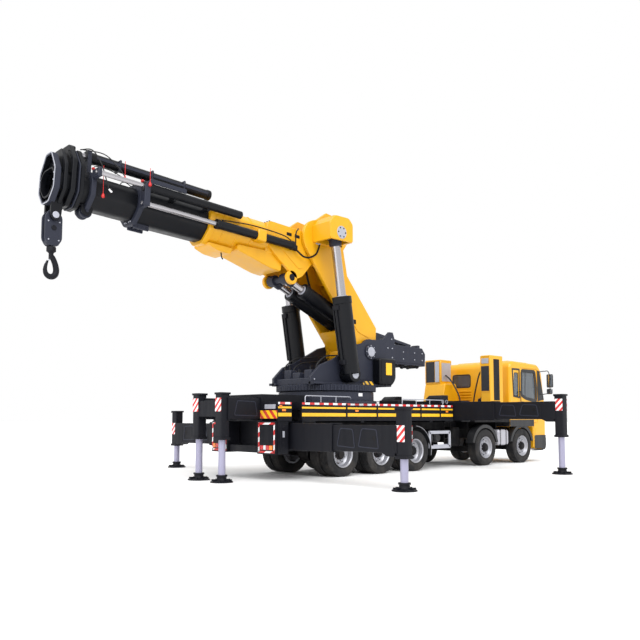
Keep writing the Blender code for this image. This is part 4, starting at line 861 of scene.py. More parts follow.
def inner_boom():
    kx, kz = KNUCKLE
    fx, fz = BOOM_FOOT

    def arc(centre, radius, start, end, steps):
        angle = np.radians(np.linspace(start, end, steps))
        return [(centre[0] + radius * c, centre[1] + radius * s)
                for c, s in zip(np.cos(angle), np.sin(angle))]
    outline = arc(BOOM_FOOT, 0.30, 225, 360, 12) + [(1.88, 3.42), (1.90, 3.82), (0.80, 5.10), (0.66, 5.75)]
    outline += [(0.84, 6.00), (0.34, 6.58), (0.05, 6.62)]
    outline += arc(KNUCKLE, 0.48, 95, 215, 16) + [(0.42, 4.26), (1.10, 3.42)]
    paint = [prism(outline, s * 0.50, s * 0.60, 0.010) for s in (-1, 1)]
    window = soften([(0.56, 4.40), (1.18, 3.66), (1.62, 3.52), (1.66, 3.72), (0.62, 4.98), (0.40, 4.95)],
                    0.08)
    paint += [prism(window, s * 0.60, s * 0.615, 0.005) for s in (-1, 1)]
    paint += [prism([(1.86, 3.40), (1.88, 3.80), (0.78, 5.08), (0.64, 5.75), (0.58, 5.73), (0.72, 5.05),
                     (1.80, 3.78), (1.78, 3.40)], -0.52, 0.52, 0.006),
              prism([(1.40, 3.00), (1.08, 3.42), (0.86, 3.70), (0.91, 3.73), (1.13, 3.47), (1.46, 3.05)],
                    -0.52, 0.52, 0.006),
              block((0.30, 0.62), (-0.60, 0.60), (5.80, 6.40), 0.02),
              drum(0.28, -0.659, 0.659, (fx, fz), bevel=0.01, sides=48)]
    for z0 in (4.35, 4.85, 5.35):
        x = np.interp(z0, (3.8, 5.1, 5.75), (1.90, 0.80, 0.66))
        paint += [prism([(x - 0.30, z0 + 0.10), (x - 0.005, z0), (x + 0.035, z0 + 0.02),
                         (x - 0.28, z0 + 0.14)],
                        -0.44, 0.44, 0.004)]
    silver, dark = [], []
    hx, hz = LUFF_HEAD
    bracket = soften([(hx - 0.38, hz - 0.20), (hx - 0.38, hz + 0.22), (hx - 0.22, hz + 0.40),
                      (hx + 0.26, hz + 0.40), (hx + 0.40, hz + 0.26), (hx + 0.40, hz - 0.20)], 0.06)
    rim_out = [(hx - 0.38, hz - 0.20), (hx - 0.38, hz + 0.22), (hx - 0.22, hz + 0.40), (hx + 0.26, hz + 0.40),
               (hx + 0.40, hz + 0.26), (hx + 0.40, hz - 0.20), (hx + 0.32, hz - 0.20), (hx + 0.32, hz + 0.24),
               (hx + 0.22, hz + 0.33), (hx - 0.19, hz + 0.33), (hx - 0.31, hz + 0.20), (hx - 0.31, hz - 0.20)]
    for s in (-1, 1):
        paint += [prism(bracket, s * 1.20, s * 1.25, 0.010), prism(bracket, s * 0.60, s * 0.65, 0.006),
                  prism(rim_out, s * 0.64, s * 1.21, 0.004)]
        silver += [drum(0.16, s * 1.245, s * 1.262, (hx, hz), bevel=0.006, sides=40),
                   drum(0.15, s * 0.52, s * 0.625, (kx, kz), bevel=0.006),
                   drum(0.20, s * 0.655, s * 0.659, (fx, fz), bevel=0.002)]
        dark += bolts(on_circle((hx, hz), 0.12, 6), 0.018, s * 1.262, s * 1.274)
        dark += bolts(on_circle((kx, kz), 0.105, 8), 0.016, s * 0.625, s * 0.638)
        dark += [prism(rounded((0.84, 1.10), (3.86, 3.98), 0.012), s * 0.615, s * 0.618, 0.001)]
    dark += [drum(0.10, -0.499, 0.499, ARTIC_FOOT, bevel=0.004)]
    hoses = [pipe([(1.30, y, 3.62), (0.86, y, 4.22), (0.45, y, 4.78), (0.26, y, 5.30), (0.20, y, 5.62)],
                  0.016)
             for y in (-0.43, -0.39, 0.39, 0.43)]
    piece("inner_boom_plates", "inner_boom", {"yellow": paint, "silver": silver, "dark": dark,
                                             "hose": hoses}, ["inner_boom"])


def luffing_cylinders():
    barrels = {"black": [], "silver": [], "dark": []}
    for name, s in SIDES:
        how = axial(LUFF_FOOT, LUFF_HEAD, s * LUFF_Y)
        barrels["black"] += [drum(0.23, 0.02, 1.95, (0, 0), how, 0.02, 56),
                             drum(0.245, 1.78, 1.965, (0, 0), how, 0.012, 56),
                             drum(0.20, s * (LUFF_Y - 0.16), s * (LUFF_Y + 0.16), LUFF_FOOT, bevel=0.012)]
        barrels["silver"] += [hoop(0.150, 0.1155, 1.955, 1.985, (0, 0), how, 48),
                              drum(0.11, s * (LUFF_Y + 0.16), s * (LUFF_Y + 0.175), LUFF_FOOT)]
        barrels["black"] += [drum(0.033, 0.30, 1.70, (0.0, 0.25), how, 0.006, 16),
                             drum(0.026, 0.50, 1.70, (0.10, 0.235), how, 0.006, 16)]
        barrels["dark"] += [prism(rounded((-0.09, 0.09), (0.20, 0.29), 0.02), t, t + 0.12, 0.006, how)
                            for t in (0.28, 1.64)]
        shine = [turned([(0.10, 0.90), (0.115, 0.91), (0.115, LUFF_REACH - 0.16), (0.105, LUFF_REACH - 0.12)],
                        (0, 0), how, 48)]
        eye = [drum(0.18, s * (LUFF_Y - 0.145), s * (LUFF_Y + 0.145), LUFF_HEAD, bevel=0.012),
               turned([(0.14, LUFF_REACH - 0.30), (0.155, LUFF_REACH - 0.28), (0.155, LUFF_REACH - 0.10),
                       (0.12, LUFF_REACH - 0.06)], (0, 0), how, 40)]
        piece(f"luffing_rod_{name}_chrome", "luffing_rods", {"chrome": shine, "slate": eye},
              [f"luffing_rod_{name}"])
    barrels["black"] += [drum(0.12, -LUFF_Y, LUFF_Y, LUFF_FOOT, bevel=0.004)]
    barrels["black"] += [drum(0.17, s * 0.7403, s * LUFF_Y, LUFF_FOOT, bevel=0.004) for s in (-1, 1)]
    piece("luffing_barrel_pair", "luffing_barrels", barrels, ["luffing_barrels"])


def articulation_cylinders():
    black, silver, shine, eyes = [], [], [], []
    for s in (-1, 1):
        y = s * ARTIC_Y
        how = axial(ARTIC_FOOT, ARTIC_EYE, y)
        black += [drum(0.185, 0.02, 1.68, (0, 0), how, 0.015, 48),
                  drum(0.197, 1.54, 1.69, (0, 0), how, 0.010, 48),
                  drum(0.17, y - 0.13, y + 0.13, ARTIC_FOOT, bevel=0.010),
                  drum(0.022, 0.30, 1.50, (0.0, 0.20), how, 0.004, 14)]
        silver += [hoop(0.125, 0.0955, 1.682, 1.705, (0, 0), how, 40)]
        shine += [drum(0.095, 0.45, ARTIC_REACH - 0.10, (0, 0), how, 0.008, 40)]
        eyes += [drum(0.14, y - 0.11, y + 0.11, ARTIC_EYE, bevel=0.010),
                 drum(0.115, ARTIC_REACH - 0.24, ARTIC_REACH - 0.08, (0, 0), how, 0.008, 32)]
    black += [drum(0.10, -0.499, 0.499, ARTIC_FOOT, bevel=0.004)]
    eyes += [drum(0.08, -ARTIC_Y - 0.10, ARTIC_Y + 0.10, ARTIC_EYE, bevel=0.004)]
    piece("articulation_barrel_pair", "articulation_barrels", {"black": black, "silver": silver},
          ["articulation_barrels"])
    piece("articulation_rod_pair", "articulation_rods", {"chrome": shine, "slate": eyes},
          ["articulation_rods"])


def slewing_ring():
    base = [turned([(1.20, 1.7803), (1.24, 1.80), (1.24, 2.06), (1.20, 2.0797)], (SLEW[0], 0), plan, 120),
            turned([(1.24, 1.7803), (1.32, 1.7803), (1.32, 1.83), (1.24, 1.86)], (SLEW[0], 0), plan, 120,
                   True)]
    heads = bolts(on_circle((SLEW[0], 0), 1.285, 60), 0.018, 1.825, 1.85, plan)
    piece("slewing_base_ring", "truck", {"slate": base, "dark": heads}, ["slewing_base"])


def turntable():
    """Toothed ring, side plates for the boom foot, winch boxes, valve blocks and their hoses."""
    x = SLEW[0]
    dark = [turned([(1.20, 2.0803), (1.27, 2.09), (1.27, 2.22), (1.24, RING_TOP)], (x, 0), plan, 360,
                   teeth=(90, 0.030, 2.085, 2.23))]
    cheek = [(-0.62, RING_TOP - 0.02), (-0.62, 2.42), (-0.30, 2.72), (0.10, 2.86), (0.95, 3.30)]
    angle = np.radians(np.linspace(140, 75, 8))
    cheek += list(zip(BOOM_FOOT[0] + 0.34 * np.cos(angle), BOOM_FOOT[1] + 0.34 * np.sin(angle)))
    cheek += [(2.02, 3.52), (2.28, 3.74), (2.42, 3.74), (2.50, 3.55), (2.50, 2.90), (2.30, 2.50),
              (1.80, RING_TOP - 0.02)]
    panel = soften([(0.75, 2.42), (0.85, 2.98), (1.30, 3.02), (1.45, 2.60), (1.30, 2.40)], 0.06)
    bright, warn, mark, hose, black = [], [], [], [], []
    for s in (-1, 1):
        dark += [prism(cheek, s * 0.66, s * 0.74, 0.008), prism(panel, s * 0.74, s * 0.752, 0.004),
                 prism([(-0.62, RING_TOP), (-0.62, 2.30), (1.80, 2.30), (1.86, RING_TOP)], s * 0.60,
                       s * 0.86, 0.008),
                 drum(0.20, s * 0.74, s * 0.775, BOOM_FOOT, bevel=0.006, sides=48)]
        bright += [drum(0.13, s * 0.775, s * 0.80, BOOM_FOOT, bevel=0.006)]
        bright += bolts(on_circle(BOOM_FOOT, 0.165, 8), 0.014, s * 0.775, s * 0.788)
        bright += bolts([(-0.5, 2.36), (2.38, 3.05), (2.38, 3.30), (2.36, 3.55), (2.2, 3.30)], 0.02,
                        s * 0.74, s * 0.755)
        winch = soften([(1.58, 2.98), (2.22, 2.98), (2.22, 2.44), (2.08, 2.28), (1.58, 2.28)], 0.07)
        black += [prism(winch, s * 0.74, s * 1.02, 0.03),
                  prism(soften([(1.64, 2.92), (2.16, 2.92), (2.16, 2.48), (2.03, 2.34), (1.64, 2.34)], 0.05),
                        s * 1.02, s * 1.028, 0.003)]
        mark += [prism(rounded((1.80, 2.03), (2.54, 2.86), 0.015), s * 1.028, s * 1.033, 0.002)]
        warn += [prism(rounded((1.10, 1.50), (2.27, 2.36), 0.008), s * 0.86, s * 0.863, 0.001)]
        hose += [pipe([(-0.15, s * 0.52, 2.42), (-0.30, s * 0.60, 2.70), (0.02, s * 0.58, 2.95),
                       (0.40, s * 0.56, 3.00), (0.80, s * 0.52, 3.05), (1.15, s * 0.46, 3.10)], 0.018),
                 pipe([(0.05, s * 0.46, 2.42), (-0.08, s * 0.50, 2.66), (0.20, s * 0.50, 2.85),
                       (0.75, s * 0.48, 2.92), (1.10, s * 0.42, 3.02)], 0.016)]
    dark += [block((-0.55, 0.22), (-0.66, 0.66), (RING_TOP - 0.01, 2.40), 0.02),
             block((1.95, 2.45), (-0.66, 0.66), (RING_TOP + 0.02, 2.80), 0.02)]
    dark += [block((a, a + 0.24), (b, b + 0.26), (2.39, 2.39 + h), 0.02)
             for a, b, h in ((-0.45, -0.56, 0.22), (-0.48, -0.16, 0.16), (-0.42, 0.24, 0.24),
                             (-0.12, -0.45, 0.14), (-0.10, 0.16, 0.18))]
    black += [drum(0.025, 2.40, 2.40 + h, (a, b), plan, 0.005, 14)
              for a, b, h in ((-0.38, -0.48, 0.30), (-0.30, -0.40, 0.31), (-0.36, 0.32, 0.33),
                              (-0.28, 0.42, 0.32), (-0.40, -0.08, 0.24), (-0.05, 0.26, 0.25))]
    heads = bolts(on_circle((x, 0), 1.17, 48), 0.020, RING_TOP - 0.002, RING_TOP + 0.02, plan)
    label = [prism(rounded((x - 0.07, x + 0.07), (1.95, 2.03), 0.008), s * 1.2415, s * 1.2445, 0.001)
             for s in (-1, 1)]
    piece("turntable_plates", "crane_base", {"slate": dark, "black": black, "marking": mark,
                                            "hazard_dark": warn, "silver": bright, "hose": hose,
                                            "dark": heads},
          ["turntable"])
    piece("ring_label_plates", "truck", {"white": label})


def jib():
    arm = soften([(2.30, 2.94), (4.40, 2.93), (4.42, 3.30), (4.28, 3.46), (2.90, 3.50), (2.30, 3.44)], 0.02)
    dark = [prism(arm, -0.26, 0.26, 0.010), block((2.06, 2.46), (-0.6597, 0.6597), (2.92, 3.40), 0.02)]
    for s in (-1, 1):
        dark += [prism(soften([(2.75, 3.00), (4.30, 2.99), (4.32, 3.26), (4.22, 3.38), (2.95, 3.42)], 0.04),
                       s * 0.26, s * 0.272, 0.004)]
    top_bar = [(2.30, 3.40), (2.38, 3.78), (2.48, 3.80), (3.95, 3.56), (3.95, 3.40), (3.80, 3.44),
               (3.70, 3.52), (2.62, 3.68), (2.62, 3.44)]
    dark += [prism(top_bar, -0.10, 0.10, 0.006), block((4.22, 4.34), (-0.12, 0.12), (3.42, 3.56), 0.01)]
    wheel = [(0.02, -0.20), (0.07, -0.20), (0.075, -0.17), (0.06, -0.12), (0.06, 0.12), (0.075, 0.17),
             (0.07, 0.20), (0.02, 0.20)]
    rollers = [turned(wheel, (x, 2.93), side, 28, True) for x in (3.15, 3.45, 3.85, 4.12)]
    rollers += [drum(0.022, -0.21, 0.21, (x, 2.93), sides=16) for x in (3.15, 3.45, 3.85, 4.12)]
    heads = [shape for s in (-1, 1) for shape in
             bolts([(x, z) for x in (2.9, 3.4, 3.9, 4.25) for z in (3.10, 3.30)], 0.020,
                   s * 0.272, s * 0.286)]
    piece("folded_jib", "crane_base", {"slate": dark, "dark": rollers, "silver": heads}, ["stowed_jib"])


outer_boom()
telescope_1()
telescope_2()
boom_head()
hook_and_block()
inner_boom()
luffing_cylinders()
articulation_cylinders()
slewing_ring()
turntable()
jib()


# ------------------------------------------------------------------ wheels
RIM_R, TYRE_W, TWIN_PITCH, ROAD_HALF = 0.305, 0.31, 0.34, 1.25
REAR_AXLES, FRONT_AXLES = (0.0, 1.37, 2.74), (6.02, 8.05)


def tyre(x, y, width):
    """Closed section turned about the axle; ribs from four grooves, lugs where a square wave bites."""
    half, r = width / 2, TYRE_R
    centres = np.array([-0.52, -0.18, 0.18, 0.52]) * half
    groove_t = (centres[:, None] + np.array([-0.011, -0.007, 0.007, 0.011])).ravel()
    groove_r = np.tile([r, r - 0.013, r - 0.013, r], 4)
    bulge_t = half * np.array([-0.72, -0.86, -0.97, -1.0, -0.98, -0.90, -0.86])
    bulge_r = np.array([RIM_R, RIM_R + 0.03, RIM_R + 0.09, r - 0.12, r - 0.05, r - 0.018, r - 0.004])
    t = np.concatenate([bulge_t, groove_t, -bulge_t[::-1], [half * 0.6, -half * 0.6]])
    radius = np.concatenate([bulge_r, groove_r, bulge_r[::-1], [RIM_R - 0.01, RIM_R - 0.01]])
    sides = 216
    angle = np.linspace(0, 2 * math.pi, sides, endpoint=False)
    bite = ((angle * 54 / (2 * math.pi) + 0.12 * np.sign(t)[:, None]) % 1 < 0.25)
    lug = (np.abs(t) > 0.55 * half)[:, None] & (radius > r - 0.06)[:, None] & bite
    size = radius[:, None] - 0.010 * lug
    return skin(side(x + size * np.cos(angle), TYRE_R + size * np.sin(angle), y + t[:, None]), True)


def rim(x, y, s, deep):
    """Turned rim with its hub; deep is how far the disc lies inside the outer lip."""
    lip, back = TYRE_W / 2 - 0.012, -TYRE_W / 2 + 0.02
    face = lip - deep
    profile = [(0.002, back), (RIM_R - 0.03, back), (RIM_R - 0.004, back + 0.01), (RIM_R - 0.004, lip - 0.03),
               (RIM_R + 0.016, lip - 0.006), (RIM_R + 0.014, lip + 0.004), (RIM_R, lip),
               (RIM_R - 0.016, lip - 0.02), (RIM_R - 0.022, face + 0.03), (RIM_R - 0.045, face + 0.004),
               (0.215, face - 0.02), (0.20, face + 0.012), (0.145, face + 0.016), (0.002, face + 0.016)]
    return turned([(r, y + s * t) for r, t in profile], (x, TYRE_R), sides=64)


def hub(x, y, s, face, reach):
    """Hub with its cap, drawn outwards from the disc."""
    profile = [(0.002, face), (0.135, face), (0.130, face + 0.4 * reach), (0.105, face + 0.5 * reach),
               (0.095, face + 0.93 * reach), (0.08, face + reach), (0.002, face + reach)]
    return turned([(r, y + s * t) for r, t in profile], (x, TYRE_R), sides=40)


def wheel(name, x, s, twin):
    y = s * (ROAD_HALF - TYRE_W / 2)
    deep = 0.165 if twin else 0.075
    face = TYRE_W / 2 - 0.012 - deep + 0.016
    tyres = [tyre(x, y, TYRE_W - 0.01 * twin)]
    rims = [rim(x, y, s, deep)]
    if twin:
        tyres.append(tyre(x, y - s * TWIN_PITCH, TYRE_W - 0.01))
        rims.append(hoop(RIM_R - 0.004, RIM_R - 0.05, y - s * (TWIN_PITCH + 0.14), y - s * 0.12,
                         (x, TYRE_R), sides=48))
    nuts = bolts(on_circle((x, TYRE_R), 0.170, 10), 0.017, y + s * face, y + s * (face + 0.032))
    # painted shade: dark discs in the frame paint stand in for the vent holes and the shade inside them
    vent_hole_shade = [drum(0.027, y + s * (face - 0.032), y + s * (face - 0.024), place, bevel=0.002, sides=20)
             for place in on_circle((x, TYRE_R), 0.242, 10, 0.3)]
    cap = [hub(x, y, s, face, 0.10 if twin else 0.085)]
    piece(name + "_tyre", name, {"rubber": tyres, "rim": rims + nuts, "frame": vent_hole_shade + cap}, [name])


def mudguard(x, radius, start, end, y0, y1):
    return band(radius, 0.012, start, end, (x, TYRE_R), y0, y1, 24)


def running_gear():
    for name, s in SIDES:
        for number, x in enumerate(REAR_AXLES, 1):
            wheel(f"rear_wheels_{number}_{name}", x, s, True)
        for number, x in ((1, FRONT_AXLES[1]), (2, FRONT_AXLES[0])):
            wheel(f"front_wheel_{number}_{name}", x, s, False)
    guards, lips = [], []
    for s in (-1, 1):
        guards += [mudguard(REAR_AXLES[2], 0.66, -12, 88, s * 0.62, s * 1.24),
                   mudguard(REAR_AXLES[0], 0.66, 92, 160, s * 0.62, s * 1.24)]
        lips += [mudguard(x, 0.668, *ends, s * 1.225, s * 1.245)
                 for x, ends in ((REAR_AXLES[2], (-12, 88)), (REAR_AXLES[0], (92, 160)))]
        for x in FRONT_AXLES:
            guards += [mudguard(x, 0.68, 12, 168, s * 0.98, s * 1.235),
                       band(0.68, 0.10, 14, 166, (x, TYRE_R), s * 1.225, s * 1.240, 24)]
        guards += [block((6.60, 6.68), (s * 0.62, s * 1.22), (0.62, 1.20), 0.01)] if s > 0 else []
    piece("mudguards", "truck", {"trim": guards, "rim": lips})


# ------------------------------------------------------------------ deck and rear end
DECK_X, DECK_TOP = (-2.06, 4.38), 1.78
JACK_Y = float(middle("outrigger_front_left_leg")[1])
JACK_HALF = 0.14
SKIRT_FACE = 1.2505                         # just proud of the skirts and the cab sides
REAR_BEAM = {"right": -1.51, "left": -1.13}
FRONT_BEAM = {"right": 4.63, "left": 5.01}


def rail(x0, x1, y, z0, z1, posts):
    """A bent tube with its end posts, and posts between."""
    pipes = [pipe([(x0, y, z0), (x0, y, z1 - 0.03), (x0 + 0.03, y, z1), (x1 - 0.03, y, z1),
                   (x1, y, z1 - 0.03), (x1, y, z0)], 0.013, 10, 1)]
    return pipes + [pipe([(x, y, z0), (x, y, z1)], 0.010, 8, 1)
                    for x in np.linspace(x0, x1, posts + 2)[1:-1]]


def deck_details():
    stripe, tape, amber, silver, dark = [], [], [], [], []
    for name, s in SIDES:
        bay = REAR_BEAM[name]
        for x0, x1 in ((DECK_X[0], bay - 0.16), (bay + 0.16, DECK_X[1])):
            stripe += [prism([(x0, z0), (x1, z0), (x1, z1), (x0, z1)], s * SKIRT_FACE, s * 1.2535, 0.001)
                       for z0, z1 in ((1.450, 1.530), (1.630, 1.672))]
            tape += [prism([(x0, 1.722), (x1, 1.722), (x1, 1.770), (x0, 1.770)], s * SKIRT_FACE, s * 1.2525,
                           0.001)]
        amber += [prism(rounded((x - 0.055, x + 0.055), (1.565, 1.615), 0.012), s * 1.252, s * 1.270,
                        0.006) for x in (-1.90 if s < 0 else -1.60, 0.45, 2.20, 4.10)]
        silver += rail(-1.20 if s < 0 else -0.85, 0.30, s * 1.19, DECK_TOP, DECK_TOP + 0.15, 2)
        silver += rail(2.25, 4.00, s * 1.19, DECK_TOP, DECK_TOP + 0.13, 2)
        dark += [prism(rounded((x - 0.03, x + 0.03), (1.35, 1.76), 0.008), s * SKIRT_FACE, s * 1.262, 0.004)
                 for x in (0.10, 1.20, 2.95, 3.80)]
        dark += [prism([(DECK_X[0], 1.34), (DECK_X[1], 1.34), (DECK_X[1], 1.40), (DECK_X[0], 1.40)],
                       s * SKIRT_FACE, s * 1.268, 0.006)] if s > 0 else \
            [prism([(x0, 1.34), (x1, 1.34), (x1, 1.40), (x0, 1.40)], s * SKIRT_FACE, s * 1.268, 0.006)
             for x0, x1 in ((DECK_X[0], bay - 0.16), (bay + 0.16, DECK_X[1]))]
        box = soften([(3.98, DECK_TOP), (3.98, 1.96), (4.12, 2.06), (4.36, 2.06), (4.36, DECK_TOP)], 0.03)
        dark += [prism(box, s * 0.60, s * 1.12, 0.015)]
        silver += [hoop(0.055, 0.043, s * 1.14, s * 1.155, (x, DECK_TOP + 0.09), sides=24)
                   for x in (4.06, 4.24)]
    plates = [prism(rounded((2.05, 3.90), (s * 0.06, s * 1.15), 0.02), DECK_TOP + 0.0005,
                    DECK_TOP + 0.006, 0.002, plan) for s in (-1, 1)]
    plates += [prism(rounded((-0.62, 0.10), (s * 1.00, s * 1.16), 0.02), DECK_TOP + 0.0005,
                     DECK_TOP + 0.006, 0.002, plan) for s in (-1, 1)]
    dark += [block((3.05, 3.85), (-0.38, 0.38), (DECK_TOP + 0.006, DECK_TOP + 0.14), 0.03)]
    piece("deck_markings", "truck", {"marking": stripe, "tape": tape, "lens_amber": amber})
    piece("deck_fittings", "truck", {"dark": dark, "silver": silver, "plate": plates})


def rear_end():
    x = DECK_X[0] - 0.06
    dark, tape, hazard, grey, red, amber, clear = [], [], [], [], [], [], []
    for s in (-1, 1):
        y0, y1 = s * 0.62, s * 1.21
        frame_line = rounded((y0, y1), (0.63, 1.31), 0.01)
        tape += [ring_frame(frame_line, 0.045, x - 0.004, x - 0.0005, front)]
        dark += [prism(rounded((s * 0.69, s * 1.14), (0.90, 1.24), 0.02), x - 0.012, x, 0.006, front)]
        for group, a, b in ((red, 0.70, 0.82), (clear, 0.83, 0.91), (red, 0.92, 1.03), (amber, 1.04, 1.14)):
            group += [prism(rounded((s * a, s * b), (0.70, 0.80), 0.012), x - 0.030, x, 0.008, front)]
        hazard += [prism(rounded((s * 0.62, s * 1.22), (1.40, 1.585), 0.01), x + 0.048, x + 0.0595, 0.002,
                         front)]
        grey += [prism(rounded((s * 0.78, s * 1.16), (1.62, 1.72), 0.01), x + 0.048, x + 0.0595, 0.002,
                       front)]
        dark += [prism(rounded((-2.00, -1.80), (0.66, 1.28), 0.02), s * SKIRT_FACE, s * 1.262, 0.005)]
        grey += [prism(rounded((-1.94, -1.88), (0.98, 1.12), 0.01), s * 1.262, s * 1.272, 0.004)]
        dark += [drum(0.035, s * 1.262, s * 1.275, (-1.91, z), bevel=0.004, sides=20) for z in (0.85, 1.20)]
    amber += [prism(rounded((DECK_X[0] + 0.03, DECK_X[0] + 0.11), (1.655, 1.70), 0.01), s * 1.2535,
                    s * 1.266, 0.004) for s in (-1, 1)]
    piece("lamp_frames", "truck", {"dark": dark, "tape_up": tape, "hazard": hazard, "silver": grey,
                                  "lens_red": red, "lens_amber": amber, "lens_clear": clear})


def side_fittings():
    """Side guards, ladders, air tanks and lockers between the axles."""
    silver, dark, tank = [], [], []
    for s in (-1, 1):
        silver += [ring_frame(rounded((3.36, 4.34), (0.57, 1.06), 0.03), 0.085, s * 1.17, s * 1.20),
                   prism(rounded((3.60, 4.24), (0.62, 0.68), 0.01), s * 1.15, s * 1.17, 0.004)]
        dark += [block((a, a + 0.05), (s * 0.48, s * 1.16), (0.98, 1.04), 0.01) for a in (3.50, 4.24)]
        dark += [pipe([(x, s * 0.80, 0.50), (x, s * 0.80, 1.33)], 0.017, 10, 1) for x in (4.56, 4.86)]
        dark += [pipe([(4.56, s * 0.80, z), (4.86, s * 0.80, z)], 0.015, 10, 1)
                 for z in (0.56, 0.82, 1.08, 1.30)]
        dark += [block((4.92, 5.32), (s * 0.50, s * 0.82), (0.60, 1.14), 0.03)]
        tank += [turned([(0.10, s * 0.52), (0.13, s * 0.56), (0.13, s * 1.02), (0.10, s * 1.06)],
                        (x, 0.86), sides=32) for x in (3.62, 3.94)]
        dark += [block((x - 0.02, x + 0.02), (s * 0.47, s * 1.05), (0.96, 1.09), 0.006)
                 for x in (3.62, 3.94)]
    piece("side_guards_and_ladders", "truck", {"silver": silver, "frame": dark, "trim": tank})
    shell = soften([(6.74, 0.58), (6.74, 1.06), (7.33, 1.06), (7.33, 0.58)], 0.10)
    straps = [ring_frame(soften([(x, 0.575), (x, 1.065), (x + 0.05, 1.065), (x + 0.05, 0.575)], 0.005),
                         0.012, -1.205, -0.62) for x in (6.84, 7.16)]
    lid = [drum(0.045, 1.058, 1.085, (6.95, -1.05), plan, 0.006, 24)]
    piece("fuel_tank_shell", "truck", {"tank": [prism(shell, -1.20, -0.62, 0.03)], "frame": straps + lid
                                       + [block((6.98, 7.08), (-0.64, -0.4603), (0.86, 1.02), 0.006)]},
          ["fuel_tank"])


# ------------------------------------------------------------------ outriggers
def sleeve(x, y, low, high):
    """A square jack sleeve with a cap and a foot flange."""
    half = JACK_HALF - 0.025
    section = rounded((x - half, x + half), (y - half, y + half), 0.025)
    shapes = [prism(section, low, high, 0.008, plan)]
    shapes += [prism(rounded((x - 0.138, x + 0.138), (y - 0.138, y + 0.138), 0.03), z, z + thick, 0.006,
                     plan) for z, thick in ((low, 0.06), (high - 0.045, 0.045))]
    return shapes, drum(0.0803, low - 0.1, high - 0.08, (x, y), plan, 0.001, 40)


def stripe_plates(x, y, z0, z1, faces):
    """Striped plates on a sleeve: faces are -x, +x or the outer y as (axis, sign)."""
    shapes = []
    for axis, sign in faces:
        if axis == "x":
            shapes.append(prism(rounded((y - 0.112, y + 0.112), (z0, z1), 0.006), x + sign * 0.1155,
                                x + sign * 0.1200, 0.001, front))
        else:
            shapes.append(prism(rounded((x - 0.112, x + 0.112), (z0, z1), 0.006), y + sign * 0.1405,
                                y + sign * 0.1445, 0.001))
    return shapes


def leg(name, body, x, y, top):
    """Bright leg on a ball, with a ribbed foot."""
    shaft = [turned([(0.07, 0.14), (0.0798, 0.15), (0.0798, top - 0.73), (0.07, top - 0.72)], (x, y), plan,
                    48)]
    foot = [turned([(0.25, 0.0), (0.25, 0.022), (0.235, 0.030), (0.12, 0.045), (0.11, 0.06), (0.105, 0.13),
                    (0.07, 0.15)], (x, y), plan, 56)]
    cos, sin = circle(8)
    foot += [prism([(x + 0.10 * c - 0.008 * d, y + 0.10 * d + 0.008 * c),
                    (x + 0.225 * c - 0.008 * d, y + 0.225 * d + 0.008 * c),
                    (x + 0.225 * c + 0.008 * d, y + 0.225 * d - 0.008 * c),
                    (x + 0.10 * c + 0.008 * d, y + 0.10 * d - 0.008 * c)], 0.02, 0.07, 0.002, plan)
             for c, d in zip(cos, sin)]
    collar_ring = [hoop(0.125, 0.081, 0.13, 0.165, (x, y), plan, 40)]
    piece(name, body, {"leg": shaft, "dark": foot + collar_ring}, [body])


def outrigger(place, name, s, x, beam_z, jack_z, plate_z):
    end = f"{place}_{name}"
    z0, z1 = beam_z
    inner, outer = sorted((abs(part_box(f"outrigger_{end}_stage_1")[0][1]),
                           abs(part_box(f"outrigger_{end}_stage_1")[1][1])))
    body = prism(rounded((x - 0.16, x + 0.16), (z0, z1), 0.022), s * inner, s * outer, 0.004)
    tip = [prism(rounded((x - 0.166, x + 0.166), (z0 - 0.006, z1 + 0.006), 0.024), s * (outer - 0.10),
                 s * (outer - 0.004), 0.004)]
    hollow = prism(rounded((x - 0.14, x + 0.14), (z0 + 0.02, z1 - 0.02), 0.01), s * (inner - 0.1),
                   s * (outer + 0.1), 0.0)
    piece(f"beam_{end}_outer", f"outrigger_{end}_stage_1", {"dark": [body] + tip},
          [f"outrigger_{end}_stage_1"], cuts=[hollow])
    inner2 = min(abs(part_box(f"outrigger_{end}_stage_2")[0][1]), abs(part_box(f"outrigger_{end}_stage_2")[1][1]))
    half, low, high = 0.13, z0 + 0.03, z1 - 0.03
    shell, bore = sleeve(x, s * JACK_Y, *jack_z)
    shapes = [prism(rounded((x - half, x + half), (low, high), 0.02), s * inner2, s * (JACK_Y - 0.08), 0.004)]
    shapes += shell
    drop = low - 0.06
    shapes += [prism(soften([(s * (JACK_Y - 0.50), low + 0.02), (s * (JACK_Y - 0.34), drop),
                             (s * (JACK_Y - 0.13), drop), (s * (JACK_Y - 0.13), high),
                             (s * (JACK_Y - 0.50), high)], 0.03), x - half - 0.004, x + half + 0.004,
                     0.006, front)]
    ribs, hole_shade_and_bolts = [], []
    for face in (-1, 1):
        a, b = x + face * half, x + face * (half + 0.0055)
        for y0, y1 in ((2.68, 3.22), (3.30, 3.88)):
            line = soften([(s * y0, low + 0.10), (s * y1, low + 0.07), (s * (y1 - 0.06), high - 0.08),
                           (s * (y0 + 0.10), high - 0.06)], 0.06)
            ribs += [ring_frame(line, 0.020, a, b, front)]
        # painted shade: dark discs stand in for the holes in the beam sides and the shade inside them; the bolt
        # heads added below are real
        hole_shade_and_bolts += [drum(0.045, a, b, (s * 3.74, (low + high) / 2 + 0.02), front, 0.002, 28)]
    stripes = stripe_plates(x, s * JACK_Y, *plate_z, (("x", -1), ("x", 1)))
    hole_shade_and_bolts += bolts([(s * (JACK_Y + d), jack_z[1] - 0.05) for d in (-0.09, 0.09)], 0.012, x - 0.14, x - 0.155,
                   front)
    piece(f"beam_{end}_inner", f"outrigger_{end}_stage_2", {"dark": shapes}, [f"outrigger_{end}_stage_2"],
          cuts=[bore])
    piece(f"beam_{end}_marks", f"outrigger_{end}_stage_2", {"warning": stripes, "slate": ribs,
                                                           "frame": hole_shade_and_bolts})
    leg(f"leg_{end}", f"outrigger_{end}_leg", x, s * JACK_Y, jack_z[1])


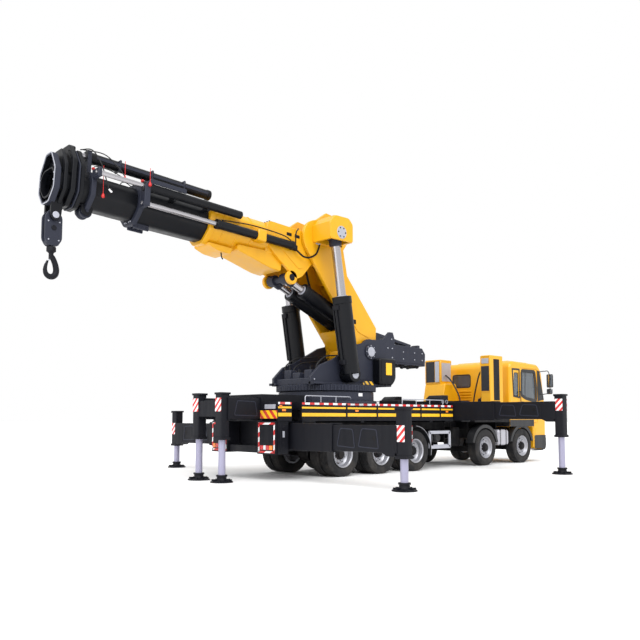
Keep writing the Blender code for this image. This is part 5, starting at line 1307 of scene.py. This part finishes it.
def stabiliser():
    x, z0, z1, high = -3.00, 1.38, 1.87, 1.98
    x_in = DECK_X[0] + 0.56
    shapes, cuts, stripes, ribs = [], [], [], []
    shapes += [block((x - 0.10, x + 0.12), (-0.45, 0.45), (z0 + 0.06, z1 - 0.06), 0.015)]
    for s in (-1, 1):
        shapes += [prism(rounded((s * 0.29, s * 0.61), (z0, z1), 0.022), x + 0.05, x_in, 0.004, front)]
        shell, bore = sleeve(x, s * 0.45, 0.93, high)
        shapes += shell
        cuts.append(bore)
        stripes += stripe_plates(x, s * 0.45, 1.56, 1.86, (("x", -1),))
        ribs += [ring_frame(soften([(-2.80, z0 + 0.09), (-2.14, z0 + 0.07), (-2.20, z1 - 0.08),
                                    (-2.72, z1 - 0.06)], 0.05), 0.018, s * 0.61, s * 0.615)]
        leg("leg_stabiliser_" + ("left" if s > 0 else "right"),
            "rear_stabiliser_" + ("left" if s > 0 else "right") + "_leg", x, s * 0.45, high)
    piece("stabiliser_beams", "rear_stabiliser_frame", {"dark": shapes}, ["rear_stabiliser_frame"],
          cuts=cuts)
    piece("stabiliser_marks", "rear_stabiliser_frame", {"warning": stripes, "slate": ribs})


# ------------------------------------------------------------------ cab and coolers
CAB_BACK, CAB_FRONT, CAB_FLOOR = 7.35, 9.50, 1.15
DOOR_X = (7.98, 9.00)


def pane(outline, t, how=side, rubber=0.022, thick=0.006):
    """Glass in a rubber frame; the glass fills the frame."""
    return (prism(inset(outline, rubber * 0.5), t - thick / 2, t + thick / 2, 0.001, how),
            ring_frame(inset(outline, -0.014), rubber + 0.014, t - thick * 1.4, t + thick * 1.4, how))


def cab():
    outline = soften([(CAB_BACK, CAB_FLOOR), (8.74, CAB_FLOOR), (8.78, 0.42), (9.42, 0.40), (CAB_FRONT, 0.95),
                      (CAB_FRONT, 1.75), (9.30, 2.95), (9.08, 3.17), (7.55, 3.22), (7.38, 3.08)], 0.10, 5)
    inner = [(7.41, 1.21), (9.42, 1.21), (9.44, 1.75), (9.245, 2.93), (9.04, 3.11), (7.57, 3.16),
             (7.44, 3.05)]
    cuts = [prism(inner, -1.19, 1.19, 0.0)]
    screen = [(-1.10, 2.00), (1.10, 2.00), (1.03, 2.84), (-1.03, 2.84)]
    cuts += [prism(soften(screen, 0.08), 9.0, 9.8, 0.0, front)]
    glass, rubber = [], []
    for s in (-1, 1):
        cuts += [prism(rounded((DOOR_X[0] - 0.008, DOOR_X[1] + 0.008), (1.25, 3.02), 0.05), s * 1.10,
                       s * 1.40, 0.0)]
        rear = rounded((s * 0.22, s * 0.92), (2.42, 2.84), 0.08)
        cuts += [prism(rear, 7.2, 7.6, 0.0, front)]
        quarter = soften([(7.56, 2.12), (7.88, 2.10), (7.88, 2.86), (7.62, 2.86)], 0.06)
        cuts += [prism(quarter, s * 1.10, s * 1.40, 0.0)]
        for line, t, how in ((rear, 7.372, front), (quarter, s * 1.232, side)):
            sheet, seal = pane(line, t, how)
            glass.append(sheet)
            rubber.append(seal)
    body = [prism(outline, -ROAD_HALF, ROAD_HALF, 0.045)]
    piece("cab_body", "truck", {"cab_yellow": body}, ["cab_shell"], cuts=cuts, crisp=30.0)
    lean = (9.30 - 9.50) / (2.95 - 1.75)

    def raked(a, b, t):
        return front(a, b, 9.50 + lean * (np.asarray(b) - 1.75) + t)
    sheet, seal = pane(soften(screen, 0.08), -0.030, raked)
    glass.append(sheet)
    rubber.append(seal)
    piece("cab_glass", "truck", {"glass": glass})
    trim, panels, lamps, mirror = [], [], [], []
    trim += [prism(soften([(9.30, 0.38), (9.47, 0.38), (9.53, 0.52), (9.53, 0.78), (9.44, 0.82),
                           (9.30, 0.80)], 0.04), -1.25, 1.25, 0.02),
             prism([(9.497, 1.15), (9.515, 1.16), (9.515, 1.62), (9.497, 1.63)], -0.75, 0.75, 0.004)]
    trim += [block((9.51, 9.525), (-0.70, 0.70), (z, z + 0.025), 0.004) for z in (1.24, 1.34, 1.44, 1.54)]
    panels += [prism(rounded((0.17, 0.93), (z, z + 0.055), 0.02), CAB_BACK - 0.014, CAB_BACK + 0.01, 0.010,
                     front) for z in (1.90, 1.99, 2.08, 2.17, 2.26)]
    panels += [prism(rounded((8.84, 9.38), (0.88, 1.08), 0.03), s * 1.246, s * 1.258, 0.005) for s in (-1, 1)]
    panels += [prism(soften([(7.62, 3.20), (7.75, 3.26), (8.95, 3.24), (9.10, 3.15)], 0.05),
                     -0.95, 0.95, 0.02)]
    trim += [prism(rounded((-1.24, 1.24), (1.155, 1.40), 0.01), CAB_BACK - 0.014, CAB_BACK - 0.0005, 0.004,
                   front)]
    for s in (-1, 1):
        trim += [ring_frame([(7.50, 2.99), (7.955, 2.99), (7.955, 2.04), (7.56, 2.08)], 0.055, s * SKIRT_FACE,
                            s * 1.2590),
                 prism([(9.02, 2.99), (9.16, 2.96), (9.42, 2.02), (9.02, 1.96)], s * SKIRT_FACE, s * 1.2590,
                       0.003)]
        lamps += [prism(rounded((s * 0.82, s * 1.14), (0.86, 1.02), 0.03), 9.49, 9.522, 0.010, front)]
        trim += [block((8.80, 9.30), (s * 1.10, s * 1.262), (z, z + 0.03), 0.006) for z in (0.36, 0.66)]
        trim += [prism([(CAB_BACK, 1.15), (8.76, 1.15), (8.76, 1.36), (CAB_BACK, 1.36)], s * SKIRT_FACE,
                       s * 1.262, 0.004),
                 prism(soften([(8.79, 0.43), (9.41, 0.41), (9.49, 0.86), (8.79, 0.86)], 0.04), s * SKIRT_FACE,
                       s * 1.260, 0.004)]
        trim += [pipe([(9.10, s * 1.22, 2.92), (9.28, s * 1.36, 2.96), (9.38, s * 1.48, 2.90),
                       (9.38, s * 1.50, 2.30), (9.26, s * 1.36, 2.20), (9.20, s * 1.24, 2.20)], 0.014),
                 prism(rounded((s * 1.38, s * 1.60), (2.42, 2.86), 0.04), 9.385, 9.45, 0.015, front),
                 prism(rounded((s * 1.38, s * 1.58), (2.20, 2.38), 0.04), 9.385, 9.43, 0.012, front)]
        mirror += [prism(rounded((s * 1.40, s * 1.58), (2.44, 2.84), 0.03), 9.378, 9.386, 0.002, front),
                   prism(rounded((s * 1.40, s * 1.56), (2.22, 2.36), 0.03), 9.378, 9.386, 0.002, front)]
        trim += [pipe([(7.92, s * 1.262, 1.50), (7.92, s * 1.30, 1.55), (7.92, s * 1.30, 2.20),
                       (7.92, s * 1.262, 2.25)], 0.012)]
    trim += [pipe([(9.50, y, 2.02), (9.46, y + 0.35, 2.06), (9.42, y + 0.62, 2.10)], 0.008)
             for y in (-0.75, 0.10)]
    piece("cab_trim_parts", "truck", {"trim": trim + rubber, "lens_clear": lamps, "mirror": mirror})
    piece("cab_panels", "truck", {"cab_yellow": panels})
    for name, s in SIDES:
        door(name, s)
    interior()


def door(name, s):
    x0, x1 = DOOR_X
    panel = prism(rounded((x0, x1), (1.258, 3.012), 0.045), s * 1.20, s * 1.25, 0.010)
    window = soften([(x0 + 0.10, 2.16), (x0 + 0.34, 2.08), (x1 - 0.10, 2.00), (x1 - 0.08, 2.40),
                     (x1 - 0.16, 2.90), (x0 + 0.12, 2.90)], 0.06)
    sheet, seal = pane(window, s * 1.232)
    surround = ring_frame(inset(window, -0.085), 0.09, s * 1.249, s * 1.2575)
    trim = [seal, surround, prism(rounded((x0 + 0.05, x0 + 0.22), (1.88, 1.94), 0.015), s * 1.25, s * 1.272,
                                  0.006)]
    trim += [pipe([(x0 + 0.30, s * 1.233, 2.10), (x0 + 0.34, s * 1.233, 2.90)], 0.012, 8, 1)]
    crease = [prism(soften([(x0 + 0.03, 1.46), (x1 - 0.03, 1.42), (x1 - 0.03, 1.46),
                            (x0 + 0.03, 1.50)], 0.01),
                    s * 1.248, s * 1.256, 0.003)]
    cuts = [prism(window, s * 1.0, s * 1.5, 0.0)]
    body = f"cab_door_{name}"
    piece(f"door_{name}_panel", body, {"cab_yellow": [panel]}, [body], cuts=cuts)
    piece(f"door_{name}_trim", body, {"trim": trim, "cab_yellow": crease})
    piece(f"door_{name}_glass", body, {"glass": [sheet]})


def cushion(x, y, z, crown=0.03):
    """Rings up a pad: each is a rounded rectangle, drawn in by a quarter circle at its two ends."""
    (x0, x1), (y0, y1), (z0, z1) = x, y, z
    share = np.sin(np.linspace(-math.pi / 2, math.pi / 2, 12))
    rings = []
    for k in share:
        draw = 0.06 * (1 - math.sqrt(max(1 - k * k, 0.0)))
        ring = rounded((x0 + draw, x1 - draw), (y0 + draw, y1 - draw), 0.05, 5)
        rings.append(plan(*ring.T, np.full(len(ring), (z0 + z1) / 2 + k * (z1 - z0) / 2)))
    low, high = rings[0], rings[-1]
    middle_low, middle_high = low.mean(0), high.mean(0) + [0, 0, crown]
    rings = [middle_low + (low - middle_low) * 0.05] + rings
    rings += [middle_high + (high - middle_high) * k + [0, 0, -crown * k * k] for k in (0.8, 0.5, 0.2, 0.02)]
    return skin(np.stack(rings))


def interior():
    dark = [block((7.50, 9.36), (-1.10, 1.10), (1.2103, 1.27), 0.01),
            prism(soften([(9.00, 1.26), (9.38, 1.26), (9.38, 1.92), (9.20, 2.00), (9.02, 1.90)], 0.05),
                  -1.12, 1.12, 0.02)]
    dark += [pipe([(9.08, 0.55, 1.78), (8.80, 0.55, 2.01)], 0.028, 12, 1)]
    angle = np.linspace(0, 2 * math.pi, 33)
    wheel_line = np.stack([8.80 + 0.20 * 0.77 * np.sin(angle), 0.55 + 0.20 * np.cos(angle),
                           2.01 + 0.20 * 0.64 * np.sin(angle)], -1)
    dark += [pipe(wheel_line, 0.014, 10, 2)]
    dark += [block((7.95, 8.40), (s * 0.34, s * 0.80), (1.265, 1.52), 0.02) for s in (-1, 1)]
    piece("cab_floor_and_dash", "truck", {"trim": dark}, ["cab_interior"])
    for name, s in SIDES:
        y = sorted((s * 0.31, s * 0.84))
        pads = [cushion((7.97, 8.44), y, (1.53, 1.70)), cushion((7.86, 7.99), y, (1.68, 2.28), 0.01),
                cushion((7.87, 7.97), sorted((s * 0.45, s * 0.70)), (2.30, 2.47), 0.01)]
        seat = piece(f"seat_{name}", "truck", {"cloth": pads})


def coolers():
    case = [block((6.30, 7.00), (-1.25, -0.90), (1.78, 3.33), 0.02), block((6.36, 6.94), (-1.22, -0.60),
                                                                             (1.3803, 1.80), 0.02),
            prism(soften([(6.26, 1.3803), (7.05, 1.3803), (7.05, 1.9), (6.90, 2.52), (6.30, 2.52),
                          (6.16, 1.9)],
                         0.05), 0.45, 1.25, 0.02),
            block((6.30, 6.90), (0.62, 1.25), (2.50, 3.30), 0.02), block((6.45, 6.85), (-0.95, 0.30),
                                                                         (1.3803, 1.62), 0.02)]
    case += [ring_frame(rounded((-1.24, -0.91), (2.20, 3.31), 0.01), 0.02, 6.288, 6.302, front),
             ring_frame(rounded((0.64, 1.23), (2.54, 3.27), 0.01), 0.02, 6.286, 6.302, front)]
    faces = [prism(rounded((-1.22, -0.93), (2.24, 3.00), 0.01), 6.290, 6.301, 0.002, front),
             prism(rounded((0.86, 1.20), (2.57, 3.24), 0.01), 6.290, 6.301, 0.002, front)]
    silver = [prism(rounded((-1.20, -0.95), (3.08, 3.24), 0.01), 6.288, 6.301, 0.003, front),
              prism(rounded((0.67, 0.83), (2.57, 3.24), 0.02), 6.270, 6.301, 0.010, front),
              prism(rounded((6.36, 6.84), (2.60, 3.20), 0.02), 0.610, 0.621, 0.004)]
    dark = [prism(rounded((6.48, 6.80), (1.95, 3.22), 0.02), -1.2525, -1.2495, 0.001),
            prism(rounded((6.38, 6.82), (2.56, 3.24), 0.02), 1.2495, 1.2535, 0.001),
            block((6.40, 6.60), (-1.10, -0.70), (1.80, 2.02), 0.03)]
    hoses = [pipe([(6.55, -0.88, 2.9), (6.55, -0.70, 2.8), (6.5, -0.55, 2.2), (6.5, -0.45, 1.64)], 0.022),
             pipe([(6.70, -0.88, 2.3), (6.70, -0.68, 2.1), (6.7, -0.58, 1.9), (6.7, -0.50, 1.64)], 0.022),
             pipe([(6.55, 0.60, 2.8), (6.55, 0.38, 2.6), (6.5, 0.05, 2.1), (6.5, 0.0, 1.64)], 0.022)]
    piece("oil_coolers", "truck", {"cab_yellow": case, "cooler": faces, "silver": silver,
                                  "dark": dark, "hose": hoses}, ["cooling_units"])


running_gear()
deck_details()
rear_end()
side_fittings()
for side_name, sign in SIDES:
    outrigger("rear", side_name, sign, REAR_BEAM[side_name], (0.69, 1.30), (0.62, 1.62), (0.95, 1.27))
    outrigger("front", side_name, sign, FRONT_BEAM[side_name], (1.35, 1.87), (0.93, 2.02), (1.60, 1.90))
stabiliser()
cab()
coolers()
for cad_node, look in (("chassis_frame", "frame"), ("rear_bogie", "frame"), ("front_axle_1", "frame"),
                       ("front_axle_2", "frame"), ("engine_block", "frame"), ("deck", "dark"),
                       ("rear_bumper", "dark"), ("outrigger_housing_front", "dark"),
                       ("outrigger_housing_rear", "dark"), ("steering_knuckle_1_left", "frame"),
                       ("steering_knuckle_1_right", "frame"), ("steering_knuckle_2_left", "frame"),
                       ("steering_knuckle_2_right", "frame")):
    coat_node(cad_node, look)
